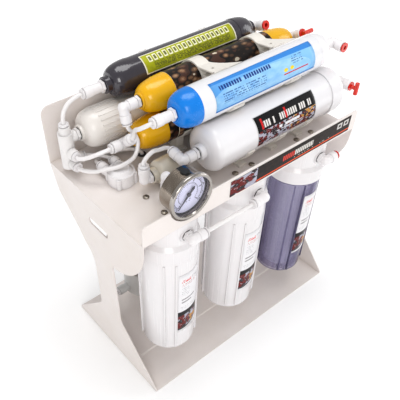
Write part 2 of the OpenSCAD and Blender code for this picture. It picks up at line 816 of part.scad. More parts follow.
module grey_collet() { free_collet(right_elbows[0], "#e02a20"); }

module blue_collet() { free_collet(right_elbows[2], "#c8201c"); }

module yellow_plug() {
    p = right_elbows[1];
    color("#e8341c") place(p[0], p[2], right_dir) stop_plug();
}

module uf_plug() { color("#e8341c") place(uf_right_elbow[0], uf_right_elbow[2], [0, 0, 1]) stop_plug(); }

// Rubber ring round a stub, pressed between its hex and the port
module port_ring(p, reach) {
    place(p[0], p[1], p[2]) translate([0, 0, -reach + 0.05]) ring(stub_r + 0.05, 9, 0.9);
}

module rubber_seals() {
    color("#1c1c1e") {
        for (p = concat(left_elbows, right_elbows, [restrictor_elbow])) port_ring(p, p[3]);
        for (p = housing_ports) port_ring(p, hex_back);
        port_ring([membrane_tee, left_dir, back_dir], grey_back);
        for (i = [-1:1]) translate([i * pitch, house_y, seam_z + 21.2])
            rotate_extrude() translate([neck_r - 4, 0]) circle(r = 1.1, $fn = 20);
        translate([grommet[0], grommet[1], cap_top - 2]) ring(4, grommet_r - 0.05, 6);
    }
}

// ---------- Tubes ----------

function turn(p, i) = i == 0 ? unit(p[1] - p[0]) : i == len(p) - 1 ? unit(p[i] - p[i - 1])
    : unit(unit(p[i + 1] - p[i]) + unit(p[i] - p[i - 1]));

// Point at fraction t of the bend between two points of a run
function bend(p, i, t) = let (l = norm(p[i + 1] - p[i]), m = l * turn(p, i), n = l * turn(p, i + 1))
    (2 * t * t * t - 3 * t * t + 1) * p[i] + (t * t * t - 2 * t * t + t) * m
    + (3 * t * t - 2 * t * t * t) * p[i + 1] + (t * t * t - t * t) * n;

// Smooth line through the points, ends included
function smooth(p, n) = concat([for (i = [0:len(p) - 2], k = [0:n - 1]) bend(p, i, k / n)],
    [p[len(p) - 1]]);

function tangents(p) = let (m = len(p) - 1) [for (i = [0:m]) unit(p[min(i + 1, m)] - p[max(i - 1, 0)])];

// Normals carried along the line without twisting
function normals(t, i = 0, last = [0, 0, 0]) = i == len(t) ? [] :
    let (n = i == 0 ? square_to(t[0]) : unit(last - (last * t[i]) * t[i])) concat([n], normals(t, i + 1, n));

module sweep(p, r, sides = 10) {
    t = tangents(p);
    n = normals(t);
    m = len(p);
    points = [for (i = [0:m - 1], k = [0:sides - 1]) let (a = k * 360 / sides)
        p[i] + r * (cos(a) * n[i] + sin(a) * cross(t[i], n[i]))];
    walls = [for (i = [0:m - 2], k = [0:sides - 1]) let (j = (k + 1) % sides)
        [i * sides + k, (i + 1) * sides + k, (i + 1) * sides + j, i * sides + j]];
    first = [for (k = [0:sides - 1]) k];
    last = [for (k = [sides - 1:-1:0]) (m - 1) * sides + k];
    polyhedron(points, concat(walls, [first, last]), 10);
}

// Straight ends inside two barrels, with free points between
function leaving(p) = [for (d = [barrel_len - tube_in, barrel_len + 4, barrel_len + 8]) p[0] + d * p[1]];
function entering(p) = [for (d = [barrel_len + 8, barrel_len + 4, barrel_len - tube_in]) p[0] + d * p[1]];
function tube_path(a, b, via) = concat(leaving(a), via, entering(b));

function barrel_of(e) = [e[0], e[2]];
pump_up = [grommet[0], grommet[1]];

// Runs between two barrels, with the free points that shape each bend
tube_runs = [
    tube_path(grey_connector, [membrane_tee, up_dir], [[-188, 103, 460], [-201, 99, 451]]),
    tube_path(barrel_of(left_elbows[0]), column_barrels[0],
        [[-128.5, 32, 418], [-127.5, 27, 410], [-131, 23, 401], [-140, 20, 391], [-158, 22, 384.5],
         [-170, 27, 381.5], [-180, 35, 379], [-192, 46, 374]]),
    tube_path(column_barrels[2], tee_barrels[0], []),
    tube_path(column_barrels[1], valve_ports[0], []),
    tube_path(blue_connector, tee_barrels[1], [[-147, -8, 456], [-144, 8, 444]]),
    tube_path(barrel_of(left_elbows[1]), barrel_of(restrictor_elbow), [[-118, -10, 410], [-134, -14, 415]]),
    tube_path(barrel_of(housing_ports[3]), pump_ports[0], [[-196, 4, 300], [-200, 40, 190], [-192, 60, 84]]),
    tube_path(pump_ports[1], valve_ports[1],
        [[-44, 64, 90], [-46, 66, 190], [-68, 82, 270], [-92, 76, 312],
         concat(pump_up, [340]), concat(pump_up, [345]), concat(pump_up, [356.5]),
         [-104, 65, 362.5], [-126, 80, 363], [-150, 88, 361], [-166, 84, 360]]),
];

module tubes() {
    top = gauge_at[2] - barrel_len + tube_in;
    color("#f6f4f3") {
        translate([tapping[0], tapping[1], cap_top - 6])
            cylinder(r = tube_r, h = top - cap_top + 6, $fn = 32);
        for (p = tube_runs) sweep(smooth(p, 5), tube_r);
        for (link = [[-1, -1], [1, 0]])
            translate([link[1] * pitch + barrel_len - tube_in, house_y + link[0] * port_out, port_z])
                rotate([0, 90, 0]) cylinder(r = tube_r, h = pitch - 2 * (barrel_len - tube_in), $fn = 32);
    }
}

// ---------- Pressure gauge ----------

// Local Z comes out of the gauge's face and local Y is up
module at_gauge() { translate(gauge_at) rotate([90, 0, 0]) children(); }

module gauge_case() {
    color("#9b9890") at_gauge() difference() {
        translate([0, 0, -case_depth]) cylinder(r = case_r, h = case_depth - 5);
        translate([0, 0, -case_depth + 1.2]) cylinder(r = case_r - 1.2, h = case_depth);
        translate([0, 0, -case_depth - 1]) cylinder(r = 6.6, h = 4);
        translate([0, case_r - 4, plug_z]) rotate([-90, 0, 0]) cylinder(r = 4.5, h = 8);
    }
    color("#191919") at_gauge() translate([0, 0, plug_z]) rotate([-90, 0, 0]) {
        translate([0, 0, case_r - 4]) cylinder(r = 4.45, h = 4.2);
        translate([0, 0, case_r + 0.05]) cylinder(r1 = 6.6, r2 = 5.8, h = 1.8);
    }
}

module gauge_bezel() {
    color("#c9c7c2") at_gauge() rotate_extrude($fn = 96) polygon(concat(
        [[30.5, -3], [31.5, -0.6]], arc([gauge_r - 2.6, -2.6], 2.6, 90, 0, 5),
        [[gauge_r, -5.5], [gauge_r - 1.5, -7], [case_r + 0.05, -7]],
        [[case_r + 0.05, -4.9], [32.2, -4.9], [32.2, -3]]
    ));
}

module gauge_window() {
    color([0.8, 0.9, 1, 0.3]) at_gauge() translate([0, 0, -4.85]) cylinder(r = 32.1, h = 1.8);
}

module gauge_dial() {
    color("#dcdaf0") at_gauge() translate([0, 0, -11]) difference() {
        cylinder(r = 31.5, h = 1);
        translate([0, 0, -1]) cylinder(r = 1.6, h = 3, $fn = 24);
    }
}

// Flat-sided teeth, slim enough to run free; the first tooth points at phase
module teeth(r, count, first, last, phase, thick) {
    for (k = [first:last]) rotate([0, 0, phase + k * 360 / count]) translate([r, 0, 0]) linear_extrude(thick)
        polygon([[-0.6, -0.3], [0.32, -0.14], [0.32, 0.14], [-0.6, 0.3]]);
}

module gauge_pointer() {
    sleeve = pinion_teeth * gear_module / 2;
    color("#16161a") at_gauge() {
        translate([0, 0, -21.4]) cylinder(r = 1.2, h = 14.4, $fn = 24);
        translate([0, 0, -8.4]) cylinder(r = 3.2, h = 1.6, $fn = 32);
        rotate([0, 0, zero_angle]) translate([0, 0, -8.2]) linear_extrude(0.9)
            polygon([[0, 1.6], [0, -1.6], [26, -0.35], [26, 0.35]]);
        rotate([0, 0, zero_angle + 180]) translate([0, 0, -8.2]) linear_extrude(0.9)
            polygon([[0, 1.4], [0, -1.4], [7, -1.6], [11, -2.2], [14, 0], [11, 2.2], [7, 1.6]]);
        translate([0, 0, -19.5]) cylinder(r = sleeve - 0.5, h = 3.5, $fn = 24);
        translate([0, 0, -19.5]) teeth(sleeve, pinion_teeth, 0, pinion_teeth - 1, -75, 3.5);
    }
}

module gauge_sector() {
    r = sector_teeth * gear_module / 2;
    color("#c2a35a") at_gauge() translate([0, -gear_gap, 0]) {
        translate([0, 0, -21.4]) cylinder(r = 0.9, h = 7.8, $fn = 24);
        translate([0, 0, -18.6]) teeth(r, sector_teeth, -11, 2, 90, 1.6);
        translate([0, 0, -18.6]) linear_extrude(1.6)
            polygon(concat([[0, 0]], arc([0, 0], r - 0.5, 22, 104, 16)));
        translate([0, 0, -18.6]) cylinder(r = 2.4, h = 1.6, $fn = 24);
    }
}

// Two plates on pillars, the socket and the curved Bourdon tube
module gauge_movement() {
    color("#b8923c") at_gauge() {
        difference() {
            union() {
                for (z = [-15, -22.6]) translate([-7, -20, z]) cube([14, 26, 1]);
                for (p = [[-5.5, 4.5], [5.5, 4.5], [-5.5, -18.5], [5.5, -18.5]])
                    translate([p[0], p[1], -22]) cylinder(r = 1, h = 7.5, $fn = 16);
                translate([-6, -19, -case_depth + 1.3]) cube([12, 20, case_depth - 23.5]);
                translate([0, 0, -case_depth - stem_len]) cylinder(r = 6.5, h = stem_len + 4);
                translate([0, 0, -case_depth - 10]) cylinder(r = 10, h = 7, $fn = 6);
                translate([0, 0, -25]) rotate([0, 0, -80]) rotate_extrude(angle = 290)
                    translate([24, 0]) circle(r = 2.2, $fn = 16);
                translate([-2, -26, -27]) cube([6, 10, 4]);
            }
            translate([0, 0, -23]) cylinder(r = 1.25, h = 10, $fn = 24);
            translate([0, -gear_gap, -23]) cylinder(r = 0.95, h = 10, $fn = 24);
            translate([0, 0, -case_depth - stem_len - 1]) cylinder(r = stub_r + 0.1, h = stub_len + 3);
            translate([0, 0, -case_depth - stem_len]) cylinder(r = 2, h = stem_len);
        }
    }
}

// Angle bracket behind the case, screwed to the shelf
module gauge_bracket() {
    drop = gauge_at[2] - shelf_z;
    half = 9.5;
    color("#d8d2c8") {
        at_gauge() difference() {
            translate([-half, -drop, -case_depth - 2.1]) cube([2 * half, drop + 12, 2]);
            translate([0, 0, -case_depth - 3]) cylinder(r = 6.6, h = 4);
        }
        translate([gauge_at[0] - half, gauge_at[1] + case_depth + 1, shelf_z]) cube([2 * half, 14, 2]);
    }
}

// ---------- Booster pump ----------

module pump_motor_case() {
    color("#e9e6e0") translate([pump_at[0], pump_at[1], 0]) difference() {
        union() {
            translate([0, 0, pump_z[1]]) cylinder(r = pump_r, h = pump_z[2] - pump_z[1] - 4);
            translate([0, 0, pump_z[2] - 4]) cylinder(r1 = pump_r, r2 = pump_r - 4, h = 4);
            for (s = [-1, 1]) translate([s * 28 - 5, -3, pump_z[2] - 6])
                cube([10, 6, cap_top - pump_z[2] + 6]);
            translate([-34, -14, cap_top - 2.1]) cube([68, 28, 2]);
        }
        translate([0, 0, pump_z[1] + 3]) cylinder(r = pump_r - 3, h = pump_z[2] - pump_z[1] - 9);
        translate([0, 0, pump_z[1] - 1]) cylinder(r = 4.06, h = 6);
        translate([0, 0, pump_z[2] - 7]) cylinder(r = 4.06, h = 5);
        translate([grommet[0] - pump_at[0], grommet[1] - pump_at[1], cap_top - 4])
            cylinder(r = grommet_r + 1, h = 8);
    }
}

module pump_rotor() {
    color("#7d7a76") translate([pump_at[0], pump_at[1], 0]) {
        translate([0, 0, pump_z[1] - 20]) cylinder(r = 4, h = pump_z[2] - pump_z[1] + 17);
        translate([0, 0, pump_z[1] + 20]) cylinder(r = 22, h = 80);
        translate([0, 0, pump_z[1] + 106]) cylinder(r = 11, h = 14);
        translate([3, 0, pump_z[1] - 18]) cylinder(r = 8, h = 8);
    }
}

module pump_head() {
    mid = [pump_at[0], pump_at[1], 0];
    color("#f0eeea") difference() {
        union() {
            translate(mid + [0, 0, pump_z[0] + 6]) cylinder(r = pump_r, h = pump_z[1] - pump_z[0] - 6.1);
            translate(mid + [0, 0, pump_z[0]]) cylinder(r1 = pump_r - 4, r2 = pump_r, h = 6);
            for (p = pump_ports) place(p[0], p[1], up_dir) barrel_shape();
        }
        translate(mid + [0, 0, pump_z[1] - 24]) cylinder(r = 20, h = 30);
        for (p = pump_ports) place(p[0], p[1], up_dir) barrel_bore();
    }
}

base_plate();
left_side_panel();
right_side_panel();
shelf_deck();
fascia_label();
shelf_screws();
housing_cap_1();
housing_cap_2();
housing_cap_3();
bowl_1();
bowl_2();
bowl_3();
sediment_cartridge();
carbon_cartridge();
carbon_block_cartridge();
housing_elbows();
membrane_housing();
membrane_cap();
membrane_element();
uf_housing();
uf_cap();
uf_fibre_bundle();
uf_end_elbow();
grey_shell();
grey_end_caps();
grey_media();
yellow_shells();
yellow_end_caps();
yellow_media();
blue_shell();
blue_inlet_cap();
blue_outlet_cap();
blue_media();
shelf_clips();
double_clips();
shutoff_valve_body();
shutoff_piston();
flow_restrictor();
cartridge_fittings();
tube_manifold();
shelf_collets();
housing_collets();
rubber_seals();
tubes();
feed_collet();
grey_collet();
blue_collet();
yellow_plug();
uf_plug();
gauge_case();
gauge_bezel();
gauge_window();
gauge_dial();
gauge_pointer();
gauge_movement();
gauge_sector();
gauge_bracket();
pump_motor_case();
pump_rotor();
pump_head();
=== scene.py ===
import json
import math

import bpy
from mathutils import Matrix, Vector


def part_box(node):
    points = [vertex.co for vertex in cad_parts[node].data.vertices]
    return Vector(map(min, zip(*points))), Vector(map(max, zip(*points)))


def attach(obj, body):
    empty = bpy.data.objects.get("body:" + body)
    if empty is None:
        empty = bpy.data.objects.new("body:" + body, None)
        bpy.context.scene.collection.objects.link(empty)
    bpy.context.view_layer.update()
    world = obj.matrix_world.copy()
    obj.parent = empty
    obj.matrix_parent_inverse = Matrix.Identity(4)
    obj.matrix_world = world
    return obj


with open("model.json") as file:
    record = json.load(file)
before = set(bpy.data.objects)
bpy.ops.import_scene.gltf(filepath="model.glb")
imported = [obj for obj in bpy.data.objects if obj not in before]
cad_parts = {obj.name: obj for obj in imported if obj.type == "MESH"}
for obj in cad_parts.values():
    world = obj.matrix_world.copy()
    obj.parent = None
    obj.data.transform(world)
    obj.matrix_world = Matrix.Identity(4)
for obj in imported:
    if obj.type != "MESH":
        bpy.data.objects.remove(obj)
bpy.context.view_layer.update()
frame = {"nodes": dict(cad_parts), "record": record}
NODES = frame["nodes"]

# Places on the housings, in metres
HOUSING_Y = -0.06
SEAM_Z = 0.281
TAPER_FOOT_Z = 0.06
TAPER_TOP_Z = 0.277
STICKER_Z = (0.106, 0.25)

FILM_THICKNESS = 0.0002
INK_DEPTH = 0.0001
INK_LIFT = 0.00002

# The dial runs clockwise through 270 degrees from the lower left
DIAL_START = 225
DIAL_SWEEP = 270
DIAL_RADIUS = 0.0242

PALE_INK = (0.84, 0.83, 0.6)
BLACK = (0.01, 0.008, 0.01)


# ---------------------------------------------------------------- node helpers
class Graph:
    """Small helper for building one procedural material."""

    def __init__(self, name):
        self.mat = bpy.data.materials.new(name)
        self.mat.use_nodes = True
        self.nt = self.mat.node_tree
        self.nt.nodes.clear()
        self.out = self.nt.nodes.new("ShaderNodeOutputMaterial")
        self.bsdf = self.nt.nodes.new("ShaderNodeBsdfPrincipled")
        self.nt.links.new(self.bsdf.outputs[0], self.out.inputs["Surface"])
        self.coord = self.nt.nodes.new("ShaderNodeTexCoord")

    def set(self, socket, value):
        if hasattr(value, "node"):
            self.nt.links.new(value, socket)
        else:
            socket.default_value = value

    def shade(self, **values):
        for key, value in values.items():
            self.set(self.bsdf.inputs[key.replace("_", " ")], value)

    def math(self, op, a, b=0.0):
        n = self.nt.nodes.new("ShaderNodeMath")
        n.operation = op
        self.set(n.inputs[0], a)
        self.set(n.inputs[1], b)
        return n.outputs[0]

    def mul(self, *values):
        total = values[0]
        for v in values[1:]:
            total = self.math("MULTIPLY", total, v)
        return total

    def add(self, a, b):
        return self.math("ADD", a, b)

    def sub(self, a, b):
        return self.math("SUBTRACT", a, b)

    def gt(self, a, b):
        return self.math("GREATER_THAN", a, b)

    def lt(self, a, b):
        return self.math("LESS_THAN", a, b)

    def most(self, a, b):
        return self.math("MAXIMUM", a, b)

    def near(self, a, b, width):
        """1 where a is within width of b."""
        return self.lt(self.math("ABSOLUTE", self.sub(a, b)), width)

    def length(self, a, b):
        return self.math("SQRT", self.add(self.mul(a, a), self.mul(b, b)))

    def rgb(self, c):
        return (c[0], c[1], c[2], 1.0)

    def mix(self, fac, a, b):
        n = self.nt.nodes.new("ShaderNodeMix")
        n.data_type = "RGBA"
        self.set(n.inputs["Factor"], fac)
        self.set(n.inputs[6], a if hasattr(a, "node") else self.rgb(a))
        self.set(n.inputs[7], b if hasattr(b, "node") else self.rgb(b))
        return n.outputs[2]

    def xyz(self, vec=None):
        n = self.nt.nodes.new("ShaderNodeSeparateXYZ")
        self.set(n.inputs[0], vec if vec is not None else self.coord.outputs["Object"])
        return n.outputs

    def vec(self, x, y, z):
        n = self.nt.nodes.new("ShaderNodeCombineXYZ")
        self.set(n.inputs[0], x)
        self.set(n.inputs[1], y)
        self.set(n.inputs[2], z)
        return n.outputs[0]

    def stretch(self, kx, ky, kz):
        """Place on the object with each axis at its own scale."""
        x, y, z = self.xyz()
        return self.vec(self.mul(x, kx), self.mul(y, ky), self.mul(z, kz))

    def noise(self, scale, detail=3.0, rough=0.5, vec=None, distort=0.0):
        n = self.nt.nodes.new("ShaderNodeTexNoise")
        self.set(n.inputs["Vector"], vec if vec is not None else self.coord.outputs["Object"])
        n.inputs["Scale"].default_value = scale
        n.inputs["Detail"].default_value = detail
        n.inputs["Roughness"].default_value = rough
        n.inputs["Distortion"].default_value = distort
        return n.outputs["Fac"]

    def cells(self, scale, vec=None, output="Distance"):
        n = self.nt.nodes.new("ShaderNodeTexVoronoi")
        n.feature = "F1"
        self.set(n.inputs["Vector"], vec if vec is not None else self.coord.outputs["Object"])
        n.inputs["Scale"].default_value = scale
        return n.outputs[output]

    def ramp(self, fac, stops):
        n = self.nt.nodes.new("ShaderNodeValToRGB")
        self.set(n.inputs[0], fac)
        e = n.color_ramp.elements
        while len(e) < len(stops):
            e.new(0.5)
        for item, (position, colour) in zip(e, stops):
            item.position = position
            item.color = self.rgb(colour)
        return n.outputs["Color"]

    def remap(self, v, a, b, c, d):
        n = self.nt.nodes.new("ShaderNodeMapRange")
        self.set(n.inputs["Value"], v)
        for key, value in (("From Min", a), ("From Max", b), ("To Min", c), ("To Max", d)):
            n.inputs[key].default_value = value
        return n.outputs[0]

    def spread(self, v, c, d):
        """A noise's usual range, 0.3 to 0.7, taken to c to d."""
        return self.remap(v, 0.3, 0.7, c, d)

    def bump(self, height, strength, distance=0.0004, edge=0.0005):
        n = self.nt.nodes.new("ShaderNodeBump")
        self.set(n.inputs["Height"], height)
        n.inputs["Strength"].default_value = strength
        n.inputs["Distance"].default_value = distance
        if edge:
            b = self.nt.nodes.new("ShaderNodeBevel")
            b.samples = 4
            b.inputs["Radius"].default_value = edge
            self.nt.links.new(b.outputs[0], n.inputs["Normal"])
        self.nt.links.new(n.outputs[0], self.bsdf.inputs["Normal"])

    def paint_crease_shade(self, colour, tint, distance=0.006, amount=0.5):
        """Paints shade into a colour where surfaces meet: darker in creases and hollows, by
        ambient occlusion.
        """
        ao = self.nt.nodes.new("ShaderNodeAmbientOcclusion")
        ao.samples = 4
        ao.inputs["Distance"].default_value = distance
        dark = self.remap(ao.outputs["AO"], 0.2, 0.9, amount, 0.0)
        return self.mix(dark, colour, tint)

    def box_mask(self, u, v, u0, u1, v0, v1):
        return self.mul(self.gt(u, u0), self.lt(u, u1), self.gt(v, v0), self.lt(v, v1))

    def border(self, u, v, u0, v0):
        """1 in the strip round the edge of a print."""
        return self.sub(1.0, self.box_mask(u, v, u0, 1.0 - u0, v0, 1.0 - v0))

    def disc(self, u, v, cu, cv, ru, rv):
        a = self.math("DIVIDE", self.sub(u, cu), ru)
        b = self.math("DIVIDE", self.sub(v, cv), rv)
        return self.lt(self.add(self.mul(a, a), self.mul(b, b)), 1.0)

    def dashes(self, u, v, rows, cols, seed, fill, high, gap):
        row = self.math("FLOOR", self.mul(v, rows))
        cell = self.math("FLOOR", self.mul(u, cols))
        w = self.nt.nodes.new("ShaderNodeTexWhiteNoise")
        w.noise_dimensions = "3D"
        self.set(w.inputs["Vector"], self.vec(cell, row, seed))
        inside = self.lt(self.math("FRACT", self.mul(v, rows)), high)
        if gap:
            inside = self.mul(inside, self.gt(self.math("FRACT", self.mul(u, cols)), gap))
        return self.mul(inside, self.lt(w.outputs["Value"], fill))

    def bars(self, u, v, area, rows, cols, seed, fill, high, gap=0.0, shift=0.0):
        """Rows of short bars inside an area: a stand-in for printing that says nothing."""
        row_v = self.add(v, shift) if shift else v
        return self.mul(
            self.box_mask(u, v, *area), self.dashes(u, row_v, rows, cols, seed, fill, high, gap)
        )


def dim(colour, k):
    return [c * k for c in colour]


def tinted(colour, red, green, blue):
    return [colour[0] * red, colour[1] * green, colour[2] * blue]


# ---------------------------------------------------------------- materials
def plastic(
    name, colour, rough=0.28, vary=0.05, coat=0.4, tint=None, edge=0.0005, speck=0.0, ao=0.35
):
    """Moulded plastic: faint flow marks, uneven gloss, softened edges and painted shade in the
    creases.
    """
    g = Graph(name)
    flow = g.noise(14.0, 4.0, 0.6, distort=0.6)
    fine = g.noise(420.0, 2.0, 0.5)
    light = [min(1.0, c * (1 + vary)) for c in colour]
    base = g.mix(g.spread(flow, 0.0, 1.0), dim(colour, 1 - vary), light)
    if speck:
        dots = g.gt(g.noise(900.0, 1.0), 0.66)
        base = g.mix(g.mul(dots, speck), base, dim(colour, 0.7))
    # Painted shade: darker towards tint in creases and hollows; ao sets how dark.
    base = g.paint_crease_shade(base, tint or dim(colour, 0.55), amount=ao)
    scuff = g.noise(75.0, 5.0, 0.7)
    gloss = g.remap(g.add(scuff, g.mul(flow, 0.5)), 0.5, 1.0, rough * 0.75, rough * 1.35)
    g.shade(Base_Color=base, Roughness=gloss, Coat_Weight=coat, Coat_Roughness=0.08, IOR=1.5)
    g.bump(g.add(g.mul(flow, 0.8), g.mul(fine, 0.2)), 0.25, 0.0006, edge)
    return g.mat


def brushed(name, colour, rough=0.25, axis="z"):
    """Metal with fine machining marks across an axis."""
    g = Graph(name)
    coarse, fine = 60.0, 2600.0
    scales = {"z": (coarse, coarse, fine), "y": (coarse, fine, coarse)}[axis]
    lines = g.noise(1.0, 3.0, 0.6, vec=g.stretch(*scales))
    stains = g.noise(30.0, 4.0, 0.65)
    base = g.mix(g.remap(stains, 0.35, 0.75, 0.0, 1.0), colour, dim(colour, 0.78))
    # Painted shade: darker in creases and hollows.
    base = g.paint_crease_shade(base, dim(colour, 0.3), amount=0.6)
    gloss = g.remap(g.add(lines, stains), 0.6, 1.4, rough * 0.6, rough * 1.6)
    g.shade(Base_Color=base, Metallic=1.0, Roughness=gloss)
    g.bump(lines, 0.12, 0.0002, 0.0004)
    return g.mat


def powder(name, colour):
    """Powder coat: fine orange peel, slight mottling, rubbed edges."""
    g = Graph(name)
    peel = g.noise(1100.0, 2.0, 0.45)
    mottle = g.noise(9.0, 5.0, 0.6)
    warm = tinted(colour, 0.93, 0.91, 0.88)
    base = g.mix(g.remap(mottle, 0.3, 0.75, 0.0, 1.0), colour, warm)
    # Painted shade: darker and warmer in creases and hollows.
    base = g.paint_crease_shade(base, tinted(colour, 0.62, 0.57, 0.5), distance=0.014, amount=0.4)
    marks = g.gt(g.noise(160.0, 2.0, 0.6), 0.79)
    base = g.mix(g.mul(marks, 0.25), base, dim(colour, 0.8))
    g.shade(Base_Color=base, Roughness=g.spread(peel, 0.33, 0.47))
    g.shade(Coat_Weight=0.15, Coat_Roughness=0.25)
    g.bump(g.add(g.mul(peel, 0.5), g.mul(mottle, 0.5)), 0.3, 0.0003, 0.0007)
    return g.mat


def ribbed_cap(name, colour):
    """Housing plastic with fine mould lines that run along the wall."""
    g = Graph(name)
    flow = g.noise(18.0, 3.0, 0.6)
    grain = g.noise(1.0, 3.0, 0.55, vec=g.stretch(260.0, 260.0, 6.0))
    shift = g.remap(g.add(flow, g.mul(grain, 0.6)), 0.5, 1.1, 0.0, 1.0)
    base = g.mix(shift, colour, dim(colour, 0.95))
    # Painted shade: darker in creases and hollows.
    base = g.paint_crease_shade(base, tinted(colour, 0.6, 0.56, 0.56), distance=0.008, amount=0.45)
    g.shade(Base_Color=base, Roughness=g.spread(grain, 0.16, 0.3))
    g.shade(Coat_Weight=0.5, Coat_Roughness=0.07)
    g.shade(Subsurface_Weight=0.06, Subsurface_Radius=(0.004, 0.003, 0.003))
    g.bump(g.add(g.mul(grain, 0.5), g.mul(flow, 0.5)), 0.3, 0.0004, 0.0008)
    return g.mat


def see_through(g, clear_tint, share):
    """Mixes the surface with plain transparency; share is how much of the surface shows."""
    clear = g.nt.nodes.new("ShaderNodeBsdfTransparent")
    g.set(clear.inputs[0], clear_tint)
    mixer = g.nt.nodes.new("ShaderNodeMixShader")
    g.set(mixer.inputs[0], share)
    g.nt.links.new(clear.outputs[0], mixer.inputs[1])
    g.nt.links.new(g.bsdf.outputs[0], mixer.inputs[2])
    g.nt.links.new(mixer.outputs[0], g.out.inputs["Surface"])


def facing_of(g, blend):
    w = g.nt.nodes.new("ShaderNodeLayerWeight")
    w.inputs["Blend"].default_value = blend
    return w.outputs["Facing"]


def clear_blue(name):
    """Blue see-through plastic: pale face-on, indigo seen edge-on, on the ribs and the rims."""
    g = Graph(name)
    facing = facing_of(g, 0.5)
    flow = g.noise(30.0, 3.0, 0.6)
    streak = g.noise(1.0, 2.0, 0.5, vec=g.stretch(130.0, 130.0, 3.0))
    x, y, z = g.xyz()
    low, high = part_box("bowl_3")
    top_rim = g.mul(g.gt(z, SEAM_Z - 0.0035), g.lt(z, SEAM_Z + 0.002))
    rims = g.most(top_rim, g.lt(z, low.z + 0.004))
    radius = g.length(g.sub(x, (low.x + high.x) / 2), g.sub(y, HOUSING_Y))
    wall = g.remap(z, TAPER_FOOT_Z, TAPER_TOP_Z, 0.0436, 0.0456)
    ribs = g.mul(g.gt(radius, wall), g.lt(z, SEAM_Z - 0.004))
    dark = g.most(rims, g.mul(ribs, 0.8))
    edge = g.add(g.add(facing, g.mul(g.sub(streak, 0.5), 0.5)), g.mul(dark, 0.5))
    tone = g.ramp(edge, [
        (0.0, (0.42, 0.4, 0.54)),
        (0.4, (0.3, 0.27, 0.42)),
        (0.7, (0.07, 0.055, 0.16)),
        (1.0, (0.01, 0.008, 0.04)),
    ])
    tint = g.ramp(edge, [
        (0.0, (0.98, 0.975, 0.995)),
        (0.4, (0.93, 0.92, 0.97)),
        (0.75, (0.5, 0.46, 0.7)),
        (1.0, (0.08, 0.06, 0.24)),
    ])
    g.shade(Base_Color=tone, Roughness=g.spread(flow, 0.05, 0.16), IOR=1.5)
    g.shade(Coat_Weight=0.8, Coat_Roughness=0.04)
    g.bump(g.add(flow, streak), 0.2, 0.0005, 0.0006)
    see_through(g, tint, g.remap(edge, 0.0, 1.0, 0.12, 0.85))
    return g.mat


def glass(name):
    """Flat instrument glass with faint smears."""
    g = Graph(name)
    smear = g.noise(45.0, 4.0, 0.7, distort=1.2)
    g.shade(Base_Color=g.mix(smear, (0.9, 0.9, 1.0), (1.0, 1.0, 1.0)))
    g.shade(Roughness=g.spread(smear, 0.02, 0.1))
    facing = facing_of(g, 0.35)
    share = g.add(0.03, g.mul(facing, facing, facing, 0.35))
    see_through(g, (0.97, 0.97, 1.0, 1.0), share)
    return g.mat


def fibre(name, colour):
    """Spun filter fibre wound round an upright axis."""
    g = Graph(name)
    wind = g.noise(1.0, 3.0, 0.6, vec=g.stretch(90.0, 90.0, 900.0), distort=0.5)
    base = g.mix(g.remap(wind, 0.35, 0.65, 0.0, 1.0), dim(colour, 0.8), colour)
    g.shade(Base_Color=base, Roughness=0.85, Sheen_Weight=0.3)
    g.bump(wind, 0.6, 0.001, 0)
    return g.mat


def granules(name, colour):
    """Loose filter media: small grains, each with its own tone."""
    g = Graph(name)
    grain_size = 420.0
    tone = g.xyz(g.cells(grain_size, output="Color"))[0]
    base = g.mix(tone, dim(colour, 0.6), dim(colour, 1.3))
    g.shade(Base_Color=base, Roughness=0.8)
    g.bump(g.cells(grain_size), 0.9, 0.0015, 0)
    return g.mat


def rubber(name):
    g = Graph(name)
    skin = g.noise(300.0, 4.0, 0.7)
    dust = g.noise(25.0, 4.0, 0.6)
    base = g.mix(g.remap(dust, 0.45, 0.8, 0.0, 0.5), (0.018, 0.018, 0.02), (0.09, 0.085, 0.08))
    g.shade(Base_Color=base, Roughness=g.spread(skin, 0.45, 0.75))
    g.bump(skin, 0.4, 0.0003, 0.0002)
    return g.mat


def beans(name):
    """Printed wrap on the yellow cartridges: brown rounded pieces on black, a few pale ones."""
    g = Graph(name)
    x, y, z = g.xyz()
    wobble = g.mul(g.noise(60.0, 2.0), 0.004)
    place = g.vec(g.add(g.mul(x, 0.62), wobble), g.add(y, wobble), z)
    bean_size = 118.0
    d = g.cells(bean_size, vec=place)
    pick = g.xyz(g.cells(bean_size, vec=place, output="Color"))
    grain = g.noise(500.0, 3.0, 0.6)
    body = g.ramp(d, [
        (0.0, (0.5, 0.34, 0.22)),
        (0.2, (0.3, 0.17, 0.09)),
        (0.4, (0.1, 0.05, 0.025)),
        (0.52, (0.006, 0.004, 0.003)),
    ])
    base = g.mix(g.mul(g.gt(pick[1], 0.7), 0.4), body, (0.14, 0.05, 0.03))
    split = g.mul(g.near(g.noise(110.0, 1.0), 0.5, 0.012), g.lt(d, 0.4))
    base = g.mix(split, base, (0.03, 0.012, 0.006))
    cream = g.mix(g.spread(grain, 0.0, 1.0), (0.62, 0.55, 0.42), (0.85, 0.78, 0.64))
    base = g.mix(g.mul(g.gt(pick[0], 0.87), g.lt(d, 0.34)), base, cream)
    right_band = g.mul(g.gt(x, 0.052), g.lt(x, 0.108))
    left_band = g.mul(g.gt(x, -0.03), g.lt(x, -0.004))
    base = g.mix(g.mul(g.add(right_band, left_band), 0.35), base, (0.02, 0.012, 0.01))
    for edge in (-0.0575, 0.1466):
        base = g.mix(g.near(x, edge, 0.0007), base, (0.86, 0.8, 0.62))
    g.shade(Base_Color=base, Roughness=g.spread(grain, 0.3, 0.42), Specular_IOR_Level=0.3)
    g.shade(Coat_Weight=0.12, Coat_Roughness=0.12)
    g.bump(grain, 0.15, 0.0002, 0.0003)
    return g.mat


